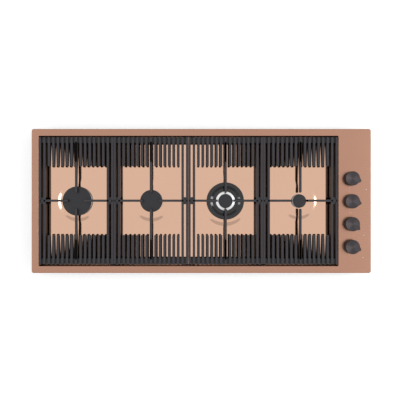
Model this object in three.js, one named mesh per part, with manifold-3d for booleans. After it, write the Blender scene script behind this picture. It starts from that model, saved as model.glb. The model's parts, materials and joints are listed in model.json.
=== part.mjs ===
// Built-in gas cooktop: a copper-coloured steel plate with a sunk well that holds four burners,
// four comb grates flush with the plate, and four upright knobs on the panel at the right.
// Millimetres, +Z up, +X along the length, +Y to the back. The origin is the middle of the
// underside of the lower box.
import * as THREE from 'three';
import * as BufferGeometryUtils from 'three/addons/utils/BufferGeometryUtils.js';
import Module from 'manifold-3d';

const wasm = await Module();
wasm.setup();

// ---------- driving dimensions ----------

const CLEARANCE = 0.3; // between fixed pieces that touch
const RUNNING = 0.25; // around a shaft that turns or slides
const REACH_PAST = 1; // how far a cutter runs past the face that it opens
const BITE = 2; // how deep a joined limb runs into the piece that carries it

const PLATE = { length: 1200, depth: 510, sheet: 1.5, lip: 5, corner: 8, edge: 1, top: 74 };
const WELL = { rim: 25, panel: 115, drop: 36, corner: 4, mouth: 1.2 };
const BOSS = { height: 4, slope: 19 };
const CUTOUT = { underRim: 15, gap: 3 }; // the hole in the worktop
const BOX = { sheet: 1, corner: 6 };
const BEAD = { length: 300, width: 26, height: 2.5, fromSide: 130, fromMiddle: 90 };
const VENT = { count: 6, pitch: 30, length: 44, width: 5, corner: 2.2, fromRight: 102, fromMiddle: 110 };
const SEAL = { overlap: 2, inset: 1, proud: 1 };

const GRATE = {
  barWidth: 8,
  sideSteps: 8, // bar pitches from the middle to the outermost bar
  innerSide: 7, // bar pitches from the middle to the inner side bar
  height: 24,
  foot: { narrow: 7, wide: 8.4 },
  rail: 20,
  railDrop: 5,
  tooth: 103.2, // from the end of a side bar to the tip of a tooth
  toothTip: 13,
  gap: 0.6,
  leftPlay: 0.3,
  rightPlay: 1.9,
  backPlay: 4,
  frontPlay: 6.2,
  chamfer: 1,
  draft: 1,
};
const FINGER = { width: 8, tip: 28.5, height: 10, flatFrom: 76, flare: 4.5, flareLength: 9 };
const WEB = { width: 25, drop: 3 };
const NOTCH = { pastTooth: 13, width: 3, depth: 2.5 };

// Radii of the pressed boss, the crown and the cap.
const LARGE = { boss: 58, crown: 46, cap: 52, ports: 14 };
const MEDIUM = { boss: 58, crown: 34, cap: 39.5, ports: 10 };
const WOK_RING = { boss: 72, crown: 60, cap: 66.5, ports: 16 };
const SMALL = { boss: 42, crown: 19, cap: 23.7, ports: 8 };
const BURNERS = [LARGE, MEDIUM, WOK_RING, SMALL]; // from left to right
const CROWN = { height: 13, wall: 5, floor: 3, skirt: 6, port: 2.4, portDepth: 5 };
const THROAT = { radius: 10, wall: 2, drop: 12 };
const CAP = { thickness: 4.7, edge: 1.2, dome: 0.6, ribDepth: 2.5 };
const WOK = {
  hole: 35.5,
  rim: 5, // flat rim of the ring cap
  bowl: 7.6, // depth of its dish at the hole
  bowlSheet: 2,
  ring: 34,
  ringTop: 16,
  innerWall: 5,
  portRadius: 22.5,
  portHeight: 3,
  ports: 8,
  cap: 25.2,
  capThickness: 3.2,
};
const CUP = { wall: 2, flange: 6, height: 26, inCrown: 6, injector: 5, injectorHeight: 9 };
const PROBE = {
  inset: 4.6, // from the edge of the cap
  stem: 2.2,
  body: 3.4,
  shoulder: 3, // from the underside of the crown down to the top of the body
  bodyLength: 16,
  plugAngle: 60,
  thermoAngle: 120,
};
const SPARK = { wire: 0.7, wireLength: 2, tipUnderCap: 1 };
const THERMO = { rod: 1.6, tipUnderCap: 1.6, nut: 4.4, nutHeight: 5 };

const KNOB = {
  pitch: 80,
  fromRight: 71,
  fromMiddle: 79, // the rearmost knob, behind the middle of the plate
  radius: 25,
  height: 18,
  lift: 4,
  nose: 31.4,
  noseRound: 6,
  edge: 1,
  dish: 0.6,
  dishRadius: 23,
  dot: 1.3,
  dotDepth: 0.5,
  recess: 21,
  recessDepth: 6,
  hub: 8,
};
const NOSE_TURNS = [-18, -15, -37, -20]; // degrees from +X, from the rearmost knob to the front one
const TRAVEL = 3; // how far a knob is pushed
const SPINDLE = { radius: 4, flat: 1, inKnob: 12, inTap: 12, spare: 1 };
const SHOULDER = { radius: 6.5, height: 2 };
const COLLAR = { radius: 9, height: 6 };
const STRIP = { thickness: 3, width: 30, overhang: 20 };
const TAP = { width: 26, depth: 32, height: 26, edge: 2, neck: 9, neckHeight: 5 };
const OUTLET = { radius: 5.5, length: 9 };
const MANIFOLD = { size: 18, edge: 3, pastTap: 24, toWall: 37 };
const GAS_LEVEL = 28; // height of the manifold, the pipes and the inlet
const PIPE = { radius: 4, bend: 14, pastCup: 30, lanePitch: 18, turnFromTap: 17, turnPitch: 16 };
const INLET = { radius: 10.5, bore: 6, boreDepth: 22, nut: 14, nutLength: 12, pastBox: 16 };
const GLAND = {
  fromRight: 82,
  radius: 8,
  flange: 11,
  flangeLength: 4,
  bore: 3.5,
  boreDepth: 10,
  pastBox: 12,
  inside: 10,
};
const BRACKET = { width: 30, sheet: 2 };
const CLAMP = { width: 24, sheet: 2, bottom: 8, top: 34, reach: 15, hook: 3, fromSide: 202 };
const MODULE = { length: 70, depth: 36, height: 22, edge: 3, leftOfTap: 9, behindTap: 66 };
const TERMINAL = { radius: 3, height: 5, count: 4 };

const ROUND_SIDES = 24; // caps, bosses and knobs
const CROWN_SIDES = 16;
const CUP_SIDES = 12;
const SMALL_SIDES = 10;
const ROD_SIDES = 8;
const WIRE_SIDES = 6;
const CORNER_STEPS = 2; // per quarter of a rounded corner
const TIP_STEPS = 3; // across a rounded bar end
const NOSE_STEPS = 4;
const DISH_STEPS = 4;
const BEND_STEPS = 3;

// ---------- places that follow ----------

const plateUnder = PLATE.top - PLATE.sheet;
const wellLength = PLATE.length - WELL.rim - WELL.panel;
const wellDepth = PLATE.depth - 2 * WELL.rim;
const wellX = (WELL.rim - WELL.panel) / 2;
const floorTop = PLATE.top - WELL.drop;
const bossTop = floorTop + BOSS.height;
const bossUnder = bossTop - PLATE.sheet;
const crownBottom = bossTop + CLEARANCE;
const crownTop = bossTop + CROWN.height;
const capUnder = crownTop + CLEARANCE;
const cutoutLength = PLATE.length - 2 * CUTOUT.underRim;
const cutoutDepth = PLATE.depth - 2 * CUTOUT.underRim;
const boxLength = cutoutLength - 2 * CUTOUT.gap;
const boxDepth = cutoutDepth - 2 * CUTOUT.gap;
const boxTop = plateUnder - CLEARANCE;
const boxFloor = BOX.sheet + CLEARANCE;
const knobX = PLATE.length / 2 - KNOB.fromRight;
const knobBottom = PLATE.top + KNOB.lift;
const tapBottom = GAS_LEVEL - TAP.height / 2;
const neckTop = GAS_LEVEL + TAP.height / 2 + TAP.neckHeight;
const stripBottom = neckTop + CLEARANCE;
const collarBottom = stripBottom + STRIP.thickness + TRAVEL + CLEARANCE;
const collarTop = collarBottom + COLLAR.height;
const manifoldX = knobX + TAP.width / 2 + CLEARANCE + MANIFOLD.size / 2;
const glandX = boxLength / 2 - GLAND.fromRight;
const betweenGrates = (BURNERS.length - 1) * GRATE.gap;
const grateWidth = (wellLength - GRATE.leftPlay - GRATE.rightPlay - betweenGrates) / BURNERS.length;
const gratePitch = grateWidth + GRATE.gap;
const barPitch = (grateWidth - GRATE.barWidth) / (2 * GRATE.sideSteps);
const grateDepth = wellDepth - GRATE.backPlay - GRATE.frontPlay;
const grateY = (GRATE.frontPlay - GRATE.backPlay) / 2;
const knobPlaces = NOSE_TURNS.map((turn, i) => ({ y: KNOB.fromMiddle - i * KNOB.pitch, turn }));
const burnerX = (i) => wellX - wellLength / 2 + GRATE.leftPlay + grateWidth / 2 + i * gratePitch;
const cupRadius = (burner) => burner.crown - CUP.inCrown;
const probeRadius = (burner) => burner.cap - PROBE.inset;
const toFlats = (radius, sides) => radius * Math.cos(Math.PI / sides); // a faceted round, across its flats
const ribIn = (boreRadius) => toFlats(boreRadius, CROWN_SIDES) - CLEARANCE;

// ---------- materials ----------

function finish(color, roughness, metalness) {
  return new THREE.MeshStandardMaterial({ color, roughness, metalness });
}

const copperSteel = finish(0xc59a82, 0.32, 1);
const castIron = finish(0x35302d, 0.75, 0.2);
const blackEnamel = finish(0x2a2827, 0.45, 0.1);
const castAluminium = finish(0xb9b7b3, 0.45, 1);
const darkMetal = finish(0x55504c, 0.35, 1);
const zincSteel = finish(0x9ea2a5, 0.45, 1);
const brass = finish(0xb89a55, 0.35, 1);
const tubeAluminium = finish(0xa8abad, 0.35, 1);
const ceramic = finish(0xe8e4da, 0.5, 0);
const foam = finish(0x303032, 0.95, 0);
const blackPlastic = finish(0x232426, 0.6, 0);

// ---------- shapes ----------

function solid(geometry) {
  geometry.deleteAttribute('normal');
  geometry.deleteAttribute('uv');
  const merged = BufferGeometryUtils.mergeVertices(geometry);
  const vertProperties = new Float32Array(merged.attributes.position.array);
  const triVerts = new Uint32Array(merged.index.array);
  return new wasm.Manifold(new wasm.Mesh({ numProp: 3, vertProperties, triVerts }));
}

function geometryOf(manifold) {
  const { vertProperties, triVerts } = manifold.getMesh();
  const geometry = new THREE.BufferGeometry();
  geometry.setAttribute('position', new THREE.BufferAttribute(vertProperties, 3));
  geometry.setIndex(new THREE.BufferAttribute(triVerts, 1));
  geometry.computeVertexNormals();
  return geometry;
}

const join = (solids) => solids.reduce((whole, piece) => whole.add(piece));
const cut = (body, cutters) => cutters.reduce((rest, cutter) => rest.subtract(cutter), body);

function polygon(points) {
  return new THREE.Shape(points.map(([x, y]) => new THREE.Vector2(x, y)));
}

// Points along an arc, ends included.
function arc(x, y, radius, from, to, steps) {
  return Array.from({ length: steps + 1 }, (_, i) => {
    const angle = from + ((to - from) * i) / steps;
    return [x + radius * Math.cos(angle), y + radius * Math.sin(angle)];
  });
}

function roundedRectangle(length, depth, radius, x = 0, y = 0, steps = CORNER_STEPS) {
  const quarter = Math.PI / 2;
  const corners = [[1, 1], [-1, 1], [-1, -1], [1, -1]];
  return polygon(corners.flatMap(([right, back], i) => {
    const centreX = x + right * (length / 2 - radius);
    const centreY = y + back * (depth / 2 - radius);
    return arc(centreX, centreY, radius, i * quarter, (i + 1) * quarter, steps);
  }));
}

// A bar in plan, square at x = to and round at x = from.
function barOutline(from, to, width, y = 0) {
  const half = width / 2;
  const tip = arc(from + half, y, half, Math.PI / 2, 1.5 * Math.PI, TIP_STEPS);
  return polygon([[to, y + half], ...tip, [to, y - half]]);
}

// An upright prism. The edge is the size of the chamfer round its top.
function prism(shape, bottom, top, edge = 0) {
  if (!edge) {
    const plain = new THREE.ExtrudeGeometry(shape, { depth: top - bottom, bevelEnabled: false });
    return solid(plain.translate(0, 0, bottom));
  }
  const chamfered = solid(new THREE.ExtrudeGeometry(shape, {
    depth: top - bottom - edge,
    bevelThickness: edge,
    bevelSize: edge,
    bevelOffset: -edge,
    bevelSegments: 1,
  }).translate(0, 0, bottom));
  return chamfered.subtract(block(2 * PLATE.length, 2 * PLATE.length, bottom - 2 * edge, bottom));
}

// A shape drawn in X and Z, run along Y between two values.
function sideways(shape, from, to) {
  const geometry = new THREE.ExtrudeGeometry(shape, { depth: to - from, bevelEnabled: false });
  return geometry.rotateX(Math.PI / 2).translate(0, to, 0);
}

function block(length, depth, bottom, top, x = 0, y = 0) {
  return solid(new THREE.BoxGeometry(length, depth, top - bottom).translate(x, y, (top + bottom) / 2));
}

function drum(radius, bottom, top, { x = 0, y = 0, sides = SMALL_SIDES, topRadius = radius } = {}) {
  const geometry = new THREE.CylinderGeometry(topRadius, radius, top - bottom, sides);
  return solid(geometry.rotateX(Math.PI / 2).translate(x, y, (top + bottom) / 2));
}

function turned(points, sides) {
  const outline = points.map(([radius, height]) => new THREE.Vector2(radius, height));
  return solid(new THREE.LatheGeometry(outline, sides).rotateX(Math.PI / 2));
}

const closed = (points) => [...points, points[0]];

function around(radius, degrees) {
  const angle = THREE.MathUtils.degToRad(degrees);
  return { x: radius * Math.cos(angle), y: radius * Math.sin(angle) };
}

// A bent tube's centre line: straight runs, and an arc of a few steps at each corner.
class BentLine extends THREE.Curve {
  constructor(corners, radius) {
    super();
    this.stations = [corners[0]];
    for (let i = 1; i < corners.length - 1; i += 1) {
      const before = corners[i - 1].clone().sub(corners[i]).setLength(radius);
      const after = corners[i + 1].clone().sub(corners[i]).setLength(radius);
      const start = corners[i].clone().add(before);
      const end = corners[i].clone().add(after);
      const centre = start.clone().add(after);
      for (let step = 0; step <= BEND_STEPS; step += 1) {
        const angle = (step / BEND_STEPS) * (Math.PI / 2);
        const spoke = start.clone().sub(centre).multiplyScalar(Math.cos(angle));
        spoke.add(end.clone().sub(centre).multiplyScalar(Math.sin(angle)));
        this.stations.push(centre.clone().add(spoke));
      }
    }
    this.stations.push(corners[corners.length - 1]);
  }

  getPoint(share) {
    const place = share * (this.stations.length - 1);
    const index = Math.min(Math.floor(place), this.stations.length - 2);
    return this.stations[index].clone().lerp(this.stations[index + 1], place - index);
  }

  getPointAt(share) {
    return this.getPoint(share);
  }

  getTangentAt(share) {
    const last = this.stations.length - 1;
    const index = Math.round(share * last);
    const before = this.stations[Math.max(index - 1, 0)];
    const after = this.stations[Math.min(index + 1, last)];
    return after.clone().sub(before).normalize();
  }
}

// ---------- plate, box and seal ----------

function plateHoles() {
  const holes = [];
  const bottom = floorTop - REACH_PAST - PLATE.sheet;
  BURNERS.forEach((burner, i) => {
    const x = burnerX(i);
    holes.push(drum(cupRadius(burner) + CLEARANCE, bottom, bossTop + REACH_PAST, { x, sides: CUP_SIDES }));
    for (const degrees of [PROBE.plugAngle, PROBE.thermoAngle]) {
      const place = around(probeRadius(burner), degrees);
      const spot = { x: x + place.x, y: place.y, sides: ROD_SIDES };
      holes.push(drum(PROBE.stem + CLEARANCE, bottom, bossTop + REACH_PAST, spot));
    }
  });
  for (const { y } of knobPlaces) {
    const spot = { x: knobX, y };
    holes.push(drum(SPINDLE.radius + 2 * RUNNING, plateUnder - REACH_PAST, PLATE.top + REACH_PAST, spot));
  }
  return holes;
}

function makeTopPlate() {
  const { length, depth, sheet, lip, corner, edge, top } = PLATE;
  const skin = prism(roundedRectangle(length, depth, corner), top - lip, top, edge);
  const inside = roundedRectangle(length - 2 * sheet, depth - 2 * sheet, corner - sheet);
  const hollow = prism(inside, top - lip - REACH_PAST, plateUnder);
  const shellLength = wellLength + 2 * sheet;
  const shellOutline = roundedRectangle(shellLength, wellDepth + 2 * sheet, WELL.corner + sheet, wellX);
  const shell = prism(shellOutline, floorTop - sheet, top - sheet / 2);
  const wellOutline = roundedRectangle(wellLength, wellDepth, WELL.corner, wellX);
  const pocket = prism(wellOutline, floorTop, top + REACH_PAST);
  const mouth = solid(new THREE.ExtrudeGeometry(wellOutline, {
    depth: REACH_PAST,
    bevelThickness: WELL.mouth,
    bevelSize: WELL.mouth,
    bevelSegments: 1,
  }).translate(0, 0, top));
  let plate = cut(skin.subtract(hollow).add(shell), [pocket, mouth]);
  BURNERS.forEach((burner, i) => {
    const form = { x: burnerX(i), sides: ROUND_SIDES, topRadius: burner.boss };
    const foot = burner.boss + BOSS.slope;
    plate = plate.add(drum(foot, floorTop, bossTop, form));
    plate = plate.subtract(drum(foot, floorTop - sheet, bossUnder, form));
  });
  return cut(plate, plateHoles());
}

function makeUnderBox() {
  const { sheet, corner } = BOX;
  const outer = prism(roundedRectangle(boxLength, boxDepth, corner), 0, boxTop);
  const inner = roundedRectangle(boxLength - 2 * sheet, boxDepth - 2 * sheet, corner - sheet);
  let box = outer.subtract(prism(inner, sheet, boxTop + REACH_PAST));
  const beadX = boxLength / 2 - BEAD.fromSide - BEAD.length / 2;
  for (const x of [-beadX, beadX]) {
    for (const y of [-BEAD.fromMiddle, BEAD.fromMiddle]) {
      const length = BEAD.length - 2 * sheet;
      const width = BEAD.width - 2 * sheet;
      const raised = roundedRectangle(BEAD.length, BEAD.width, BEAD.width / 2 - sheet, x, y);
      const pressed = roundedRectangle(length, width, width / 2 - sheet, x, y);
      box = box.add(prism(raised, 0, BEAD.height + sheet));
      box = box.subtract(prism(pressed, -REACH_PAST, BEAD.height));
    }
  }
  const openings = [];
  const ventX = boxLength / 2 - VENT.fromRight;
  for (let i = 0; i < VENT.count; i += 1) {
    const y = i * VENT.pitch - VENT.fromMiddle;
    const slot = roundedRectangle(VENT.length, VENT.width, VENT.corner, ventX, y);
    openings.push(prism(slot, -REACH_PAST, sheet + REACH_PAST));
  }
  const throughWall = 2 * (sheet + REACH_PAST);
  for (const [x, radius] of [[manifoldX, INLET.radius], [glandX, GLAND.radius]]) {
    const wide = radius + CLEARANCE;
    const hole = new THREE.CylinderGeometry(wide, wide, throughWall, SMALL_SIDES);
    openings.push(solid(hole.translate(x, boxDepth / 2, GAS_LEVEL)));
  }
  return cut(box, openings);
}

function makeSeal() {
  const outerLength = PLATE.length - 2 * (PLATE.sheet + SEAL.inset);
  const outerDepth = PLATE.depth - 2 * (PLATE.sheet + SEAL.inset);
  const bottom = PLATE.top - PLATE.lip - SEAL.proud;
  const outer = prism(roundedRectangle(outerLength, outerDepth, PLATE.corner), bottom, boxTop);
  const innerLength = cutoutLength + 2 * SEAL.overlap;
  const innerDepth = cutoutDepth + 2 * SEAL.overlap;
  const hole = roundedRectangle(innerLength, innerDepth, BOX.corner);
  return outer.subtract(prism(hole, bottom - REACH_PAST, PLATE.top));
}

// A hook that stands on the box wall and grips the worktop from below.
function makeClamp() {
  const { width, sheet, bottom, top, reach, hook } = CLAMP;
  const outline = polygon([
    [0, bottom],
    [sheet, bottom],
    [sheet, top - sheet],
    [reach, top - sheet],
    [reach, top + hook],
    [reach - sheet, top + hook],
    [reach - sheet, top],
    [0, top],
  ]);
  return solid(sideways(outline, -width / 2, width / 2));
}

// ---------- burners ----------

// The two upright channels that let a spark plug and a thermocouple past.
function probeChannels(burner, radius, bottom, top) {
  return [PROBE.plugAngle, PROBE.thermoAngle].map((degrees) => {
    const place = around(probeRadius(burner), degrees);
    return drum(radius + 2 * CLEARANCE, bottom, top, { ...place, sides: ROD_SIDES });
  });
}

function makeCup(burner) {
  const radius = cupRadius(burner);
  const top = bossUnder - CLEARANCE;
  const bottom = top - CUP.wall - CUP.height;
  const inner = radius - CUP.wall;
  const cup = turned([
    [0, bottom],
    [radius, bottom],
    [radius, top - CUP.wall],
    [radius + CUP.flange, top - CUP.wall],
    [radius + CUP.flange, top],
    [inner, top],
    [inner, bottom + CUP.wall],
    [CUP.injector, bottom + CUP.wall],
    [0, bottom + CUP.wall + CUP.injectorHeight],
  ], CUP_SIDES);
  return cut(cup, probeChannels(burner, THERMO.nut, bottom - REACH_PAST, top + REACH_PAST));
}

// Flame ports are slots from side to side, so each slot makes two ports.
function portSlots(radius, ports, bottom, top) {
  const slots = [];
  const height = top - bottom + REACH_PAST;
  for (let i = 0; i < ports / 2; i += 1) {
    const slot = new THREE.BoxGeometry(2 * radius + 2 * REACH_PAST, CROWN.port, height);
    const angle = (2 * Math.PI * (i + 0.5)) / ports;
    slots.push(solid(slot.rotateZ(angle).translate(0, 0, bottom + height / 2)));
  }
  return slots;
}

function makeCrown(burner) {
  const { wall, floor, skirt, portDepth } = CROWN;
  const radius = burner.crown;
  const floorHeight = crownBottom + floor;
  const throat = THROAT.radius - THROAT.wall;
  const crown = turned(closed([
    [throat, crownBottom - THROAT.drop],
    [THROAT.radius, crownBottom - THROAT.drop],
    [THROAT.radius, crownBottom],
    [radius + skirt, crownBottom],
    [radius, floorHeight],
    [radius, crownTop],
    [radius - wall, crownTop],
    [radius - wall, floorHeight],
    [throat, floorHeight],
  ]), CROWN_SIDES);
  const channels = probeChannels(burner, PROBE.stem, crownBottom - REACH_PAST, crownTop + REACH_PAST);
  const slots = portSlots(radius + skirt, burner.ports, crownTop - portDepth, crownTop);
  return cut(crown, [...slots, ...channels]);
}

// A plain enamelled cap: a low dome with a locating rib that drops inside the crown.
function makeCap(radius, ribRadius, bottom, thickness) {
  const top = bottom + thickness;
  return turned([
    [0, top + CAP.dome],
    [radius - 2 * CAP.edge, top],
    [radius, top - CAP.edge],
    [radius, bottom],
    [ribRadius, bottom],
    [ribRadius, bottom - CAP.ribDepth],
    [0, bottom - CAP.ribDepth],
  ].reverse(), ROUND_SIDES);
}

// The wok burner's outer cap: a ring whose dish falls in a curve towards its hole.
function makeRingCap(burner) {
  const top = capUnder + CAP.thickness;
  const ribRadius = ribIn(burner.crown - CROWN.wall);
  const rim = burner.cap - WOK.rim;
  const dish = Array.from({ length: DISH_STEPS + 1 }, (_, i) => {
    const share = i / DISH_STEPS;
    return [rim + (WOK.hole - rim) * share, top - WOK.bowl * (1 - (1 - share) ** 2)];
  });
  return turned(closed([
    [WOK.hole, top - WOK.bowl - WOK.bowlSheet],
    [ribRadius, capUnder - CAP.ribDepth],
    [ribRadius, capUnder],
    [burner.cap, capUnder],
    [burner.cap, top - CAP.edge],
    [burner.cap - CAP.edge, top],
    ...dish,
  ]), ROUND_SIDES);
}

function makeWokCrown() {
  const bottom = crownBottom + CROWN.floor + CLEARANCE;
  const ringTop = bossTop + WOK.ringTop;
  const portTop = ringTop + WOK.portHeight;
  const inner = WOK.portRadius - WOK.innerWall;
  const crown = turned(closed([
    [inner, bottom],
    [WOK.ring, bottom],
    [WOK.ring, ringTop - CAP.edge],
    [WOK.ring - CAP.edge, ringTop],
    [WOK.portRadius, ringTop],
    [WOK.portRadius, portTop],
    [inner, portTop],
  ]), CROWN_SIDES);
  return cut(crown, portSlots(WOK.portRadius, WOK.ports, ringTop, portTop));
}

function makeSparkPlug() {
  const bodyTop = crownBottom - PROBE.shoulder;
  const wireTop = capUnder - SPARK.tipUnderCap;
  return turned([
    [0, bodyTop - PROBE.bodyLength],
    [PROBE.body, bodyTop - PROBE.bodyLength],
    [PROBE.body, bodyTop],
    [PROBE.stem, bodyTop],
    [PROBE.stem, wireTop - SPARK.wireLength],
    [SPARK.wire, wireTop - SPARK.wireLength],
    [SPARK.wire, wireTop],
    [0, wireTop],
  ], WIRE_SIDES);
}

function makeThermocouple() {
  const nutTop = crownBottom - PROBE.shoulder;
  const tip = capUnder - THERMO.tipUnderCap;
  const rod = turned([
    [0, nutTop - PROBE.bodyLength],
    [THERMO.rod, nutTop - PROBE.bodyLength],
    [THERMO.rod, tip - THERMO.rod],
    [0, tip],
  ], WIRE_SIDES);
  return rod.add(drum(THERMO.nut, nutTop - THERMO.nutHeight, nutTop, { sides: WIRE_SIDES }));
}

// ---------- grates ----------

// An arm along X from its round tip to its root, thinner towards the tip.
function arm({ tip, root, end, width, tipHeight, flatFrom = tip, y = 0, flare = false, edge = 0 }) {
  const plan = prism(barOutline(tip, end, width, y), -GRATE.height - REACH_PAST, 0, edge);
  const flat = flatFrom > tip ? [[flatFrom, -tipHeight]] : [];
  const side = polygon([
    [tip - REACH_PAST, -tipHeight],
    ...flat,
    [root, -GRATE.height],
    [end + REACH_PAST, -GRATE.height],
    [end + REACH_PAST, REACH_PAST],
    [tip - REACH_PAST, REACH_PAST],
  ]);
  const shaped = plan.intersect(solid(sideways(side, y - width, y + width)));
  if (!flare) return shaped;
  const spread = width / 2 + FINGER.flare;
  const wedge = polygon([
    [root - FINGER.flareLength, -width / 2 + GRATE.chamfer],
    [root, -spread],
    [root + BITE, -spread],
    [root + BITE, spread],
    [root, spread],
    [root - FINGER.flareLength, width / 2 - GRATE.chamfer],
  ]);
  return shaped.add(prism(wedge, -GRATE.height, -WEB.drop));
}

function quarterTurned(manifold, quarters) {
  return solid(geometryOf(manifold).rotateZ((quarters * Math.PI) / 2));
}

function makeGrate() {
  const { barWidth, sideSteps, innerSide, height, rail, railDrop, draft } = GRATE;
  const railFrom = grateDepth / 2 - rail;
  const innerSideX = innerSide * barPitch - barWidth / 2;
  const pieces = [];
  for (const steps of [-sideSteps, -innerSide, innerSide, sideSteps]) {
    const x = steps * barPitch;
    const section = polygon([
      [x - barWidth / 2, -GRATE.chamfer],
      [x - barWidth / 2 + draft, -height],
      [x + barWidth / 2 - draft, -height],
      [x + barWidth / 2, -GRATE.chamfer],
      [x + barWidth / 2 - GRATE.chamfer, 0],
      [x - barWidth / 2 + GRATE.chamfer, 0],
    ]);
    pieces.push(solid(sideways(section, -grateDepth / 2, grateDepth / 2)));
  }
  const toothTip = grateDepth / 2 - GRATE.tooth;
  const notchAt = toothTip + NOTCH.pastTooth;
  const finger = { tip: FINGER.tip, width: FINGER.width, tipHeight: FINGER.height };
  const reach = { ...finger, flatFrom: FINGER.flatFrom, edge: GRATE.chamfer };
  const tooth = { root: railFrom, end: grateDepth / 2, width: barWidth, tipHeight: GRATE.toothTip };
  for (const turn of [1, 3]) {
    for (let steps = 1; steps < innerSide; steps += 1) {
      for (const y of [-steps * barPitch, steps * barPitch]) {
        pieces.push(quarterTurned(arm({ ...tooth, tip: toothTip, y }), turn));
      }
    }
    const stem = arm({ ...tooth, tip: notchAt - barWidth / 2 });
    const limb = stem.add(arm({ ...reach, root: railFrom, end: grateDepth / 2 }));
    const notch = block(NOTCH.width, barWidth + 2 * REACH_PAST, -NOTCH.depth, REACH_PAST, notchAt);
    pieces.push(quarterTurned(limb.subtract(notch), turn));
  }
  const webEnd = grateWidth / 2 - BITE;
  for (const turn of [0, 2]) {
    pieces.push(quarterTurned(arm({ ...reach, root: innerSideX, end: webEnd, flare: true }), turn));
  }
  for (const x of [(innerSideX + webEnd) / 2, -(innerSideX + webEnd) / 2]) {
    pieces.push(block(webEnd - innerSideX, WEB.width, -height, -WEB.drop, x));
  }
  for (const y of [railFrom + rail / 2, -railFrom - rail / 2]) {
    pieces.push(block(grateWidth - barWidth, rail, -height, -railDrop, 0, y));
    for (const side of [-1, 1]) {
      const x = side * (grateWidth / 2 - barPitch / 2 - barWidth / 2);
      const spot = { x, y, sides: ROD_SIDES, topRadius: GRATE.foot.wide };
      pieces.push(drum(GRATE.foot.narrow, -WELL.drop + CLEARANCE, BITE - height, spot));
    }
  }
  return join(pieces);
}

// ---------- knobs and taps ----------

// A round that runs out to a blunt nose along +X.
function knobOutline() {
  const { radius, nose, noseRound } = KNOB;
  const tipX = nose - noseRound;
  const lean = Math.acos((radius - noseRound) / tipX);
  const round = arc(0, 0, radius, lean, 2 * Math.PI - lean, ROUND_SIDES - NOSE_STEPS);
  return polygon([...round, ...arc(tipX, 0, noseRound, -lean, lean, NOSE_STEPS)]);
}

// A round with one flat side.
function spindleSection(clearance) {
  const radius = SPINDLE.radius + clearance;
  const half = Math.acos((SPINDLE.radius - SPINDLE.flat + clearance) / radius);
  return polygon(arc(0, 0, radius, half, 2 * Math.PI - half, ROD_SIDES));
}

function makeKnob() {
  const top = knobBottom + KNOB.height;
  const body = prism(knobOutline(), knobBottom, top, KNOB.edge);
  const recessTop = knobBottom + KNOB.recessDepth;
  const recess = drum(KNOB.recess, knobBottom - REACH_PAST, recessTop, { sides: CUP_SIDES });
  const hub = drum(KNOB.hub, knobBottom - BITE, recessTop + BITE);
  const boreTop = knobBottom + SPINDLE.inKnob + CLEARANCE;
  const bore = prism(spindleSection(CLEARANCE), knobBottom - BITE - REACH_PAST, boreTop);
  const dish = turned([
    [0, top - KNOB.dish],
    [KNOB.dishRadius, top],
    [KNOB.dishRadius, top + REACH_PAST],
    [0, top + REACH_PAST],
  ], CROWN_SIDES);
  const dot = drum(KNOB.dot, top - KNOB.dish - KNOB.dotDepth, top + REACH_PAST, { sides: ROD_SIDES });
  return cut(body, [recess.subtract(hub), bore, dish, dot]);
}

function makeSpindle() {
  const bottom = neckTop - SPINDLE.inTap;
  const top = knobBottom + SPINDLE.inKnob;
  const shoulderBottom = collarTop + CLEARANCE;
  const shank = drum(SPINDLE.radius, bottom, knobBottom - BITE, { sides: ROD_SIDES });
  const tip = prism(spindleSection(-CLEARANCE), knobBottom - 2 * BITE, top);
  const shoulder = drum(SHOULDER.radius, shoulderBottom, shoulderBottom + SHOULDER.height);
  return join([shank, tip, shoulder]);
}

function makeCollar() {
  const bore = drum(SPINDLE.radius + RUNNING, collarBottom - REACH_PAST, collarTop + REACH_PAST);
  return drum(COLLAR.radius, collarBottom, collarTop).subtract(bore);
}

function makeTap() {
  const { width, depth, height, edge, neck } = TAP;
  const body = prism(roundedRectangle(width, depth, edge, 0, 0, 1), tapBottom, tapBottom + height);
  const collar = drum(neck, tapBottom + height - BITE, neckTop);
  const spoutLength = OUTLET.length + BITE;
  const spout = new THREE.CylinderGeometry(OUTLET.radius, OUTLET.radius, spoutLength, ROD_SIDES);
  const spoutX = BITE - width / 2 - spoutLength / 2;
  const boreBottom = neckTop - SPINDLE.inTap - TRAVEL - SPINDLE.spare;
  const bore = drum(SPINDLE.radius + RUNNING, boreBottom, neckTop + REACH_PAST);
  const outlet = solid(spout.rotateZ(Math.PI / 2).translate(spoutX, 0, GAS_LEVEL));
  return join([body, collar, outlet]).subtract(bore);
}

const firstTapY = knobPlaces[0].y;
const lastTapY = knobPlaces[knobPlaces.length - 1].y;
const manifoldBack = boxDepth / 2 - MANIFOLD.toWall;

function makeSwitchStrip() {
  const length = firstTapY - lastTapY + 2 * STRIP.overhang;
  const outline = roundedRectangle(STRIP.width, length, TAP.edge, knobX, (firstTapY + lastTapY) / 2);
  const top = stripBottom + STRIP.thickness;
  const holes = knobPlaces.map(({ y }) => {
    return drum(SPINDLE.radius + 2 * RUNNING, stripBottom - REACH_PAST, top + REACH_PAST, { x: knobX, y });
  });
  return cut(prism(outline, stripBottom, top), holes);
}

function makeManifold() {
  const { size, edge, pastTap } = MANIFOLD;
  const section = roundedRectangle(size, size, edge, manifoldX, GAS_LEVEL);
  return solid(sideways(section, lastTapY - pastTap, manifoldBack));
}

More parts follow.
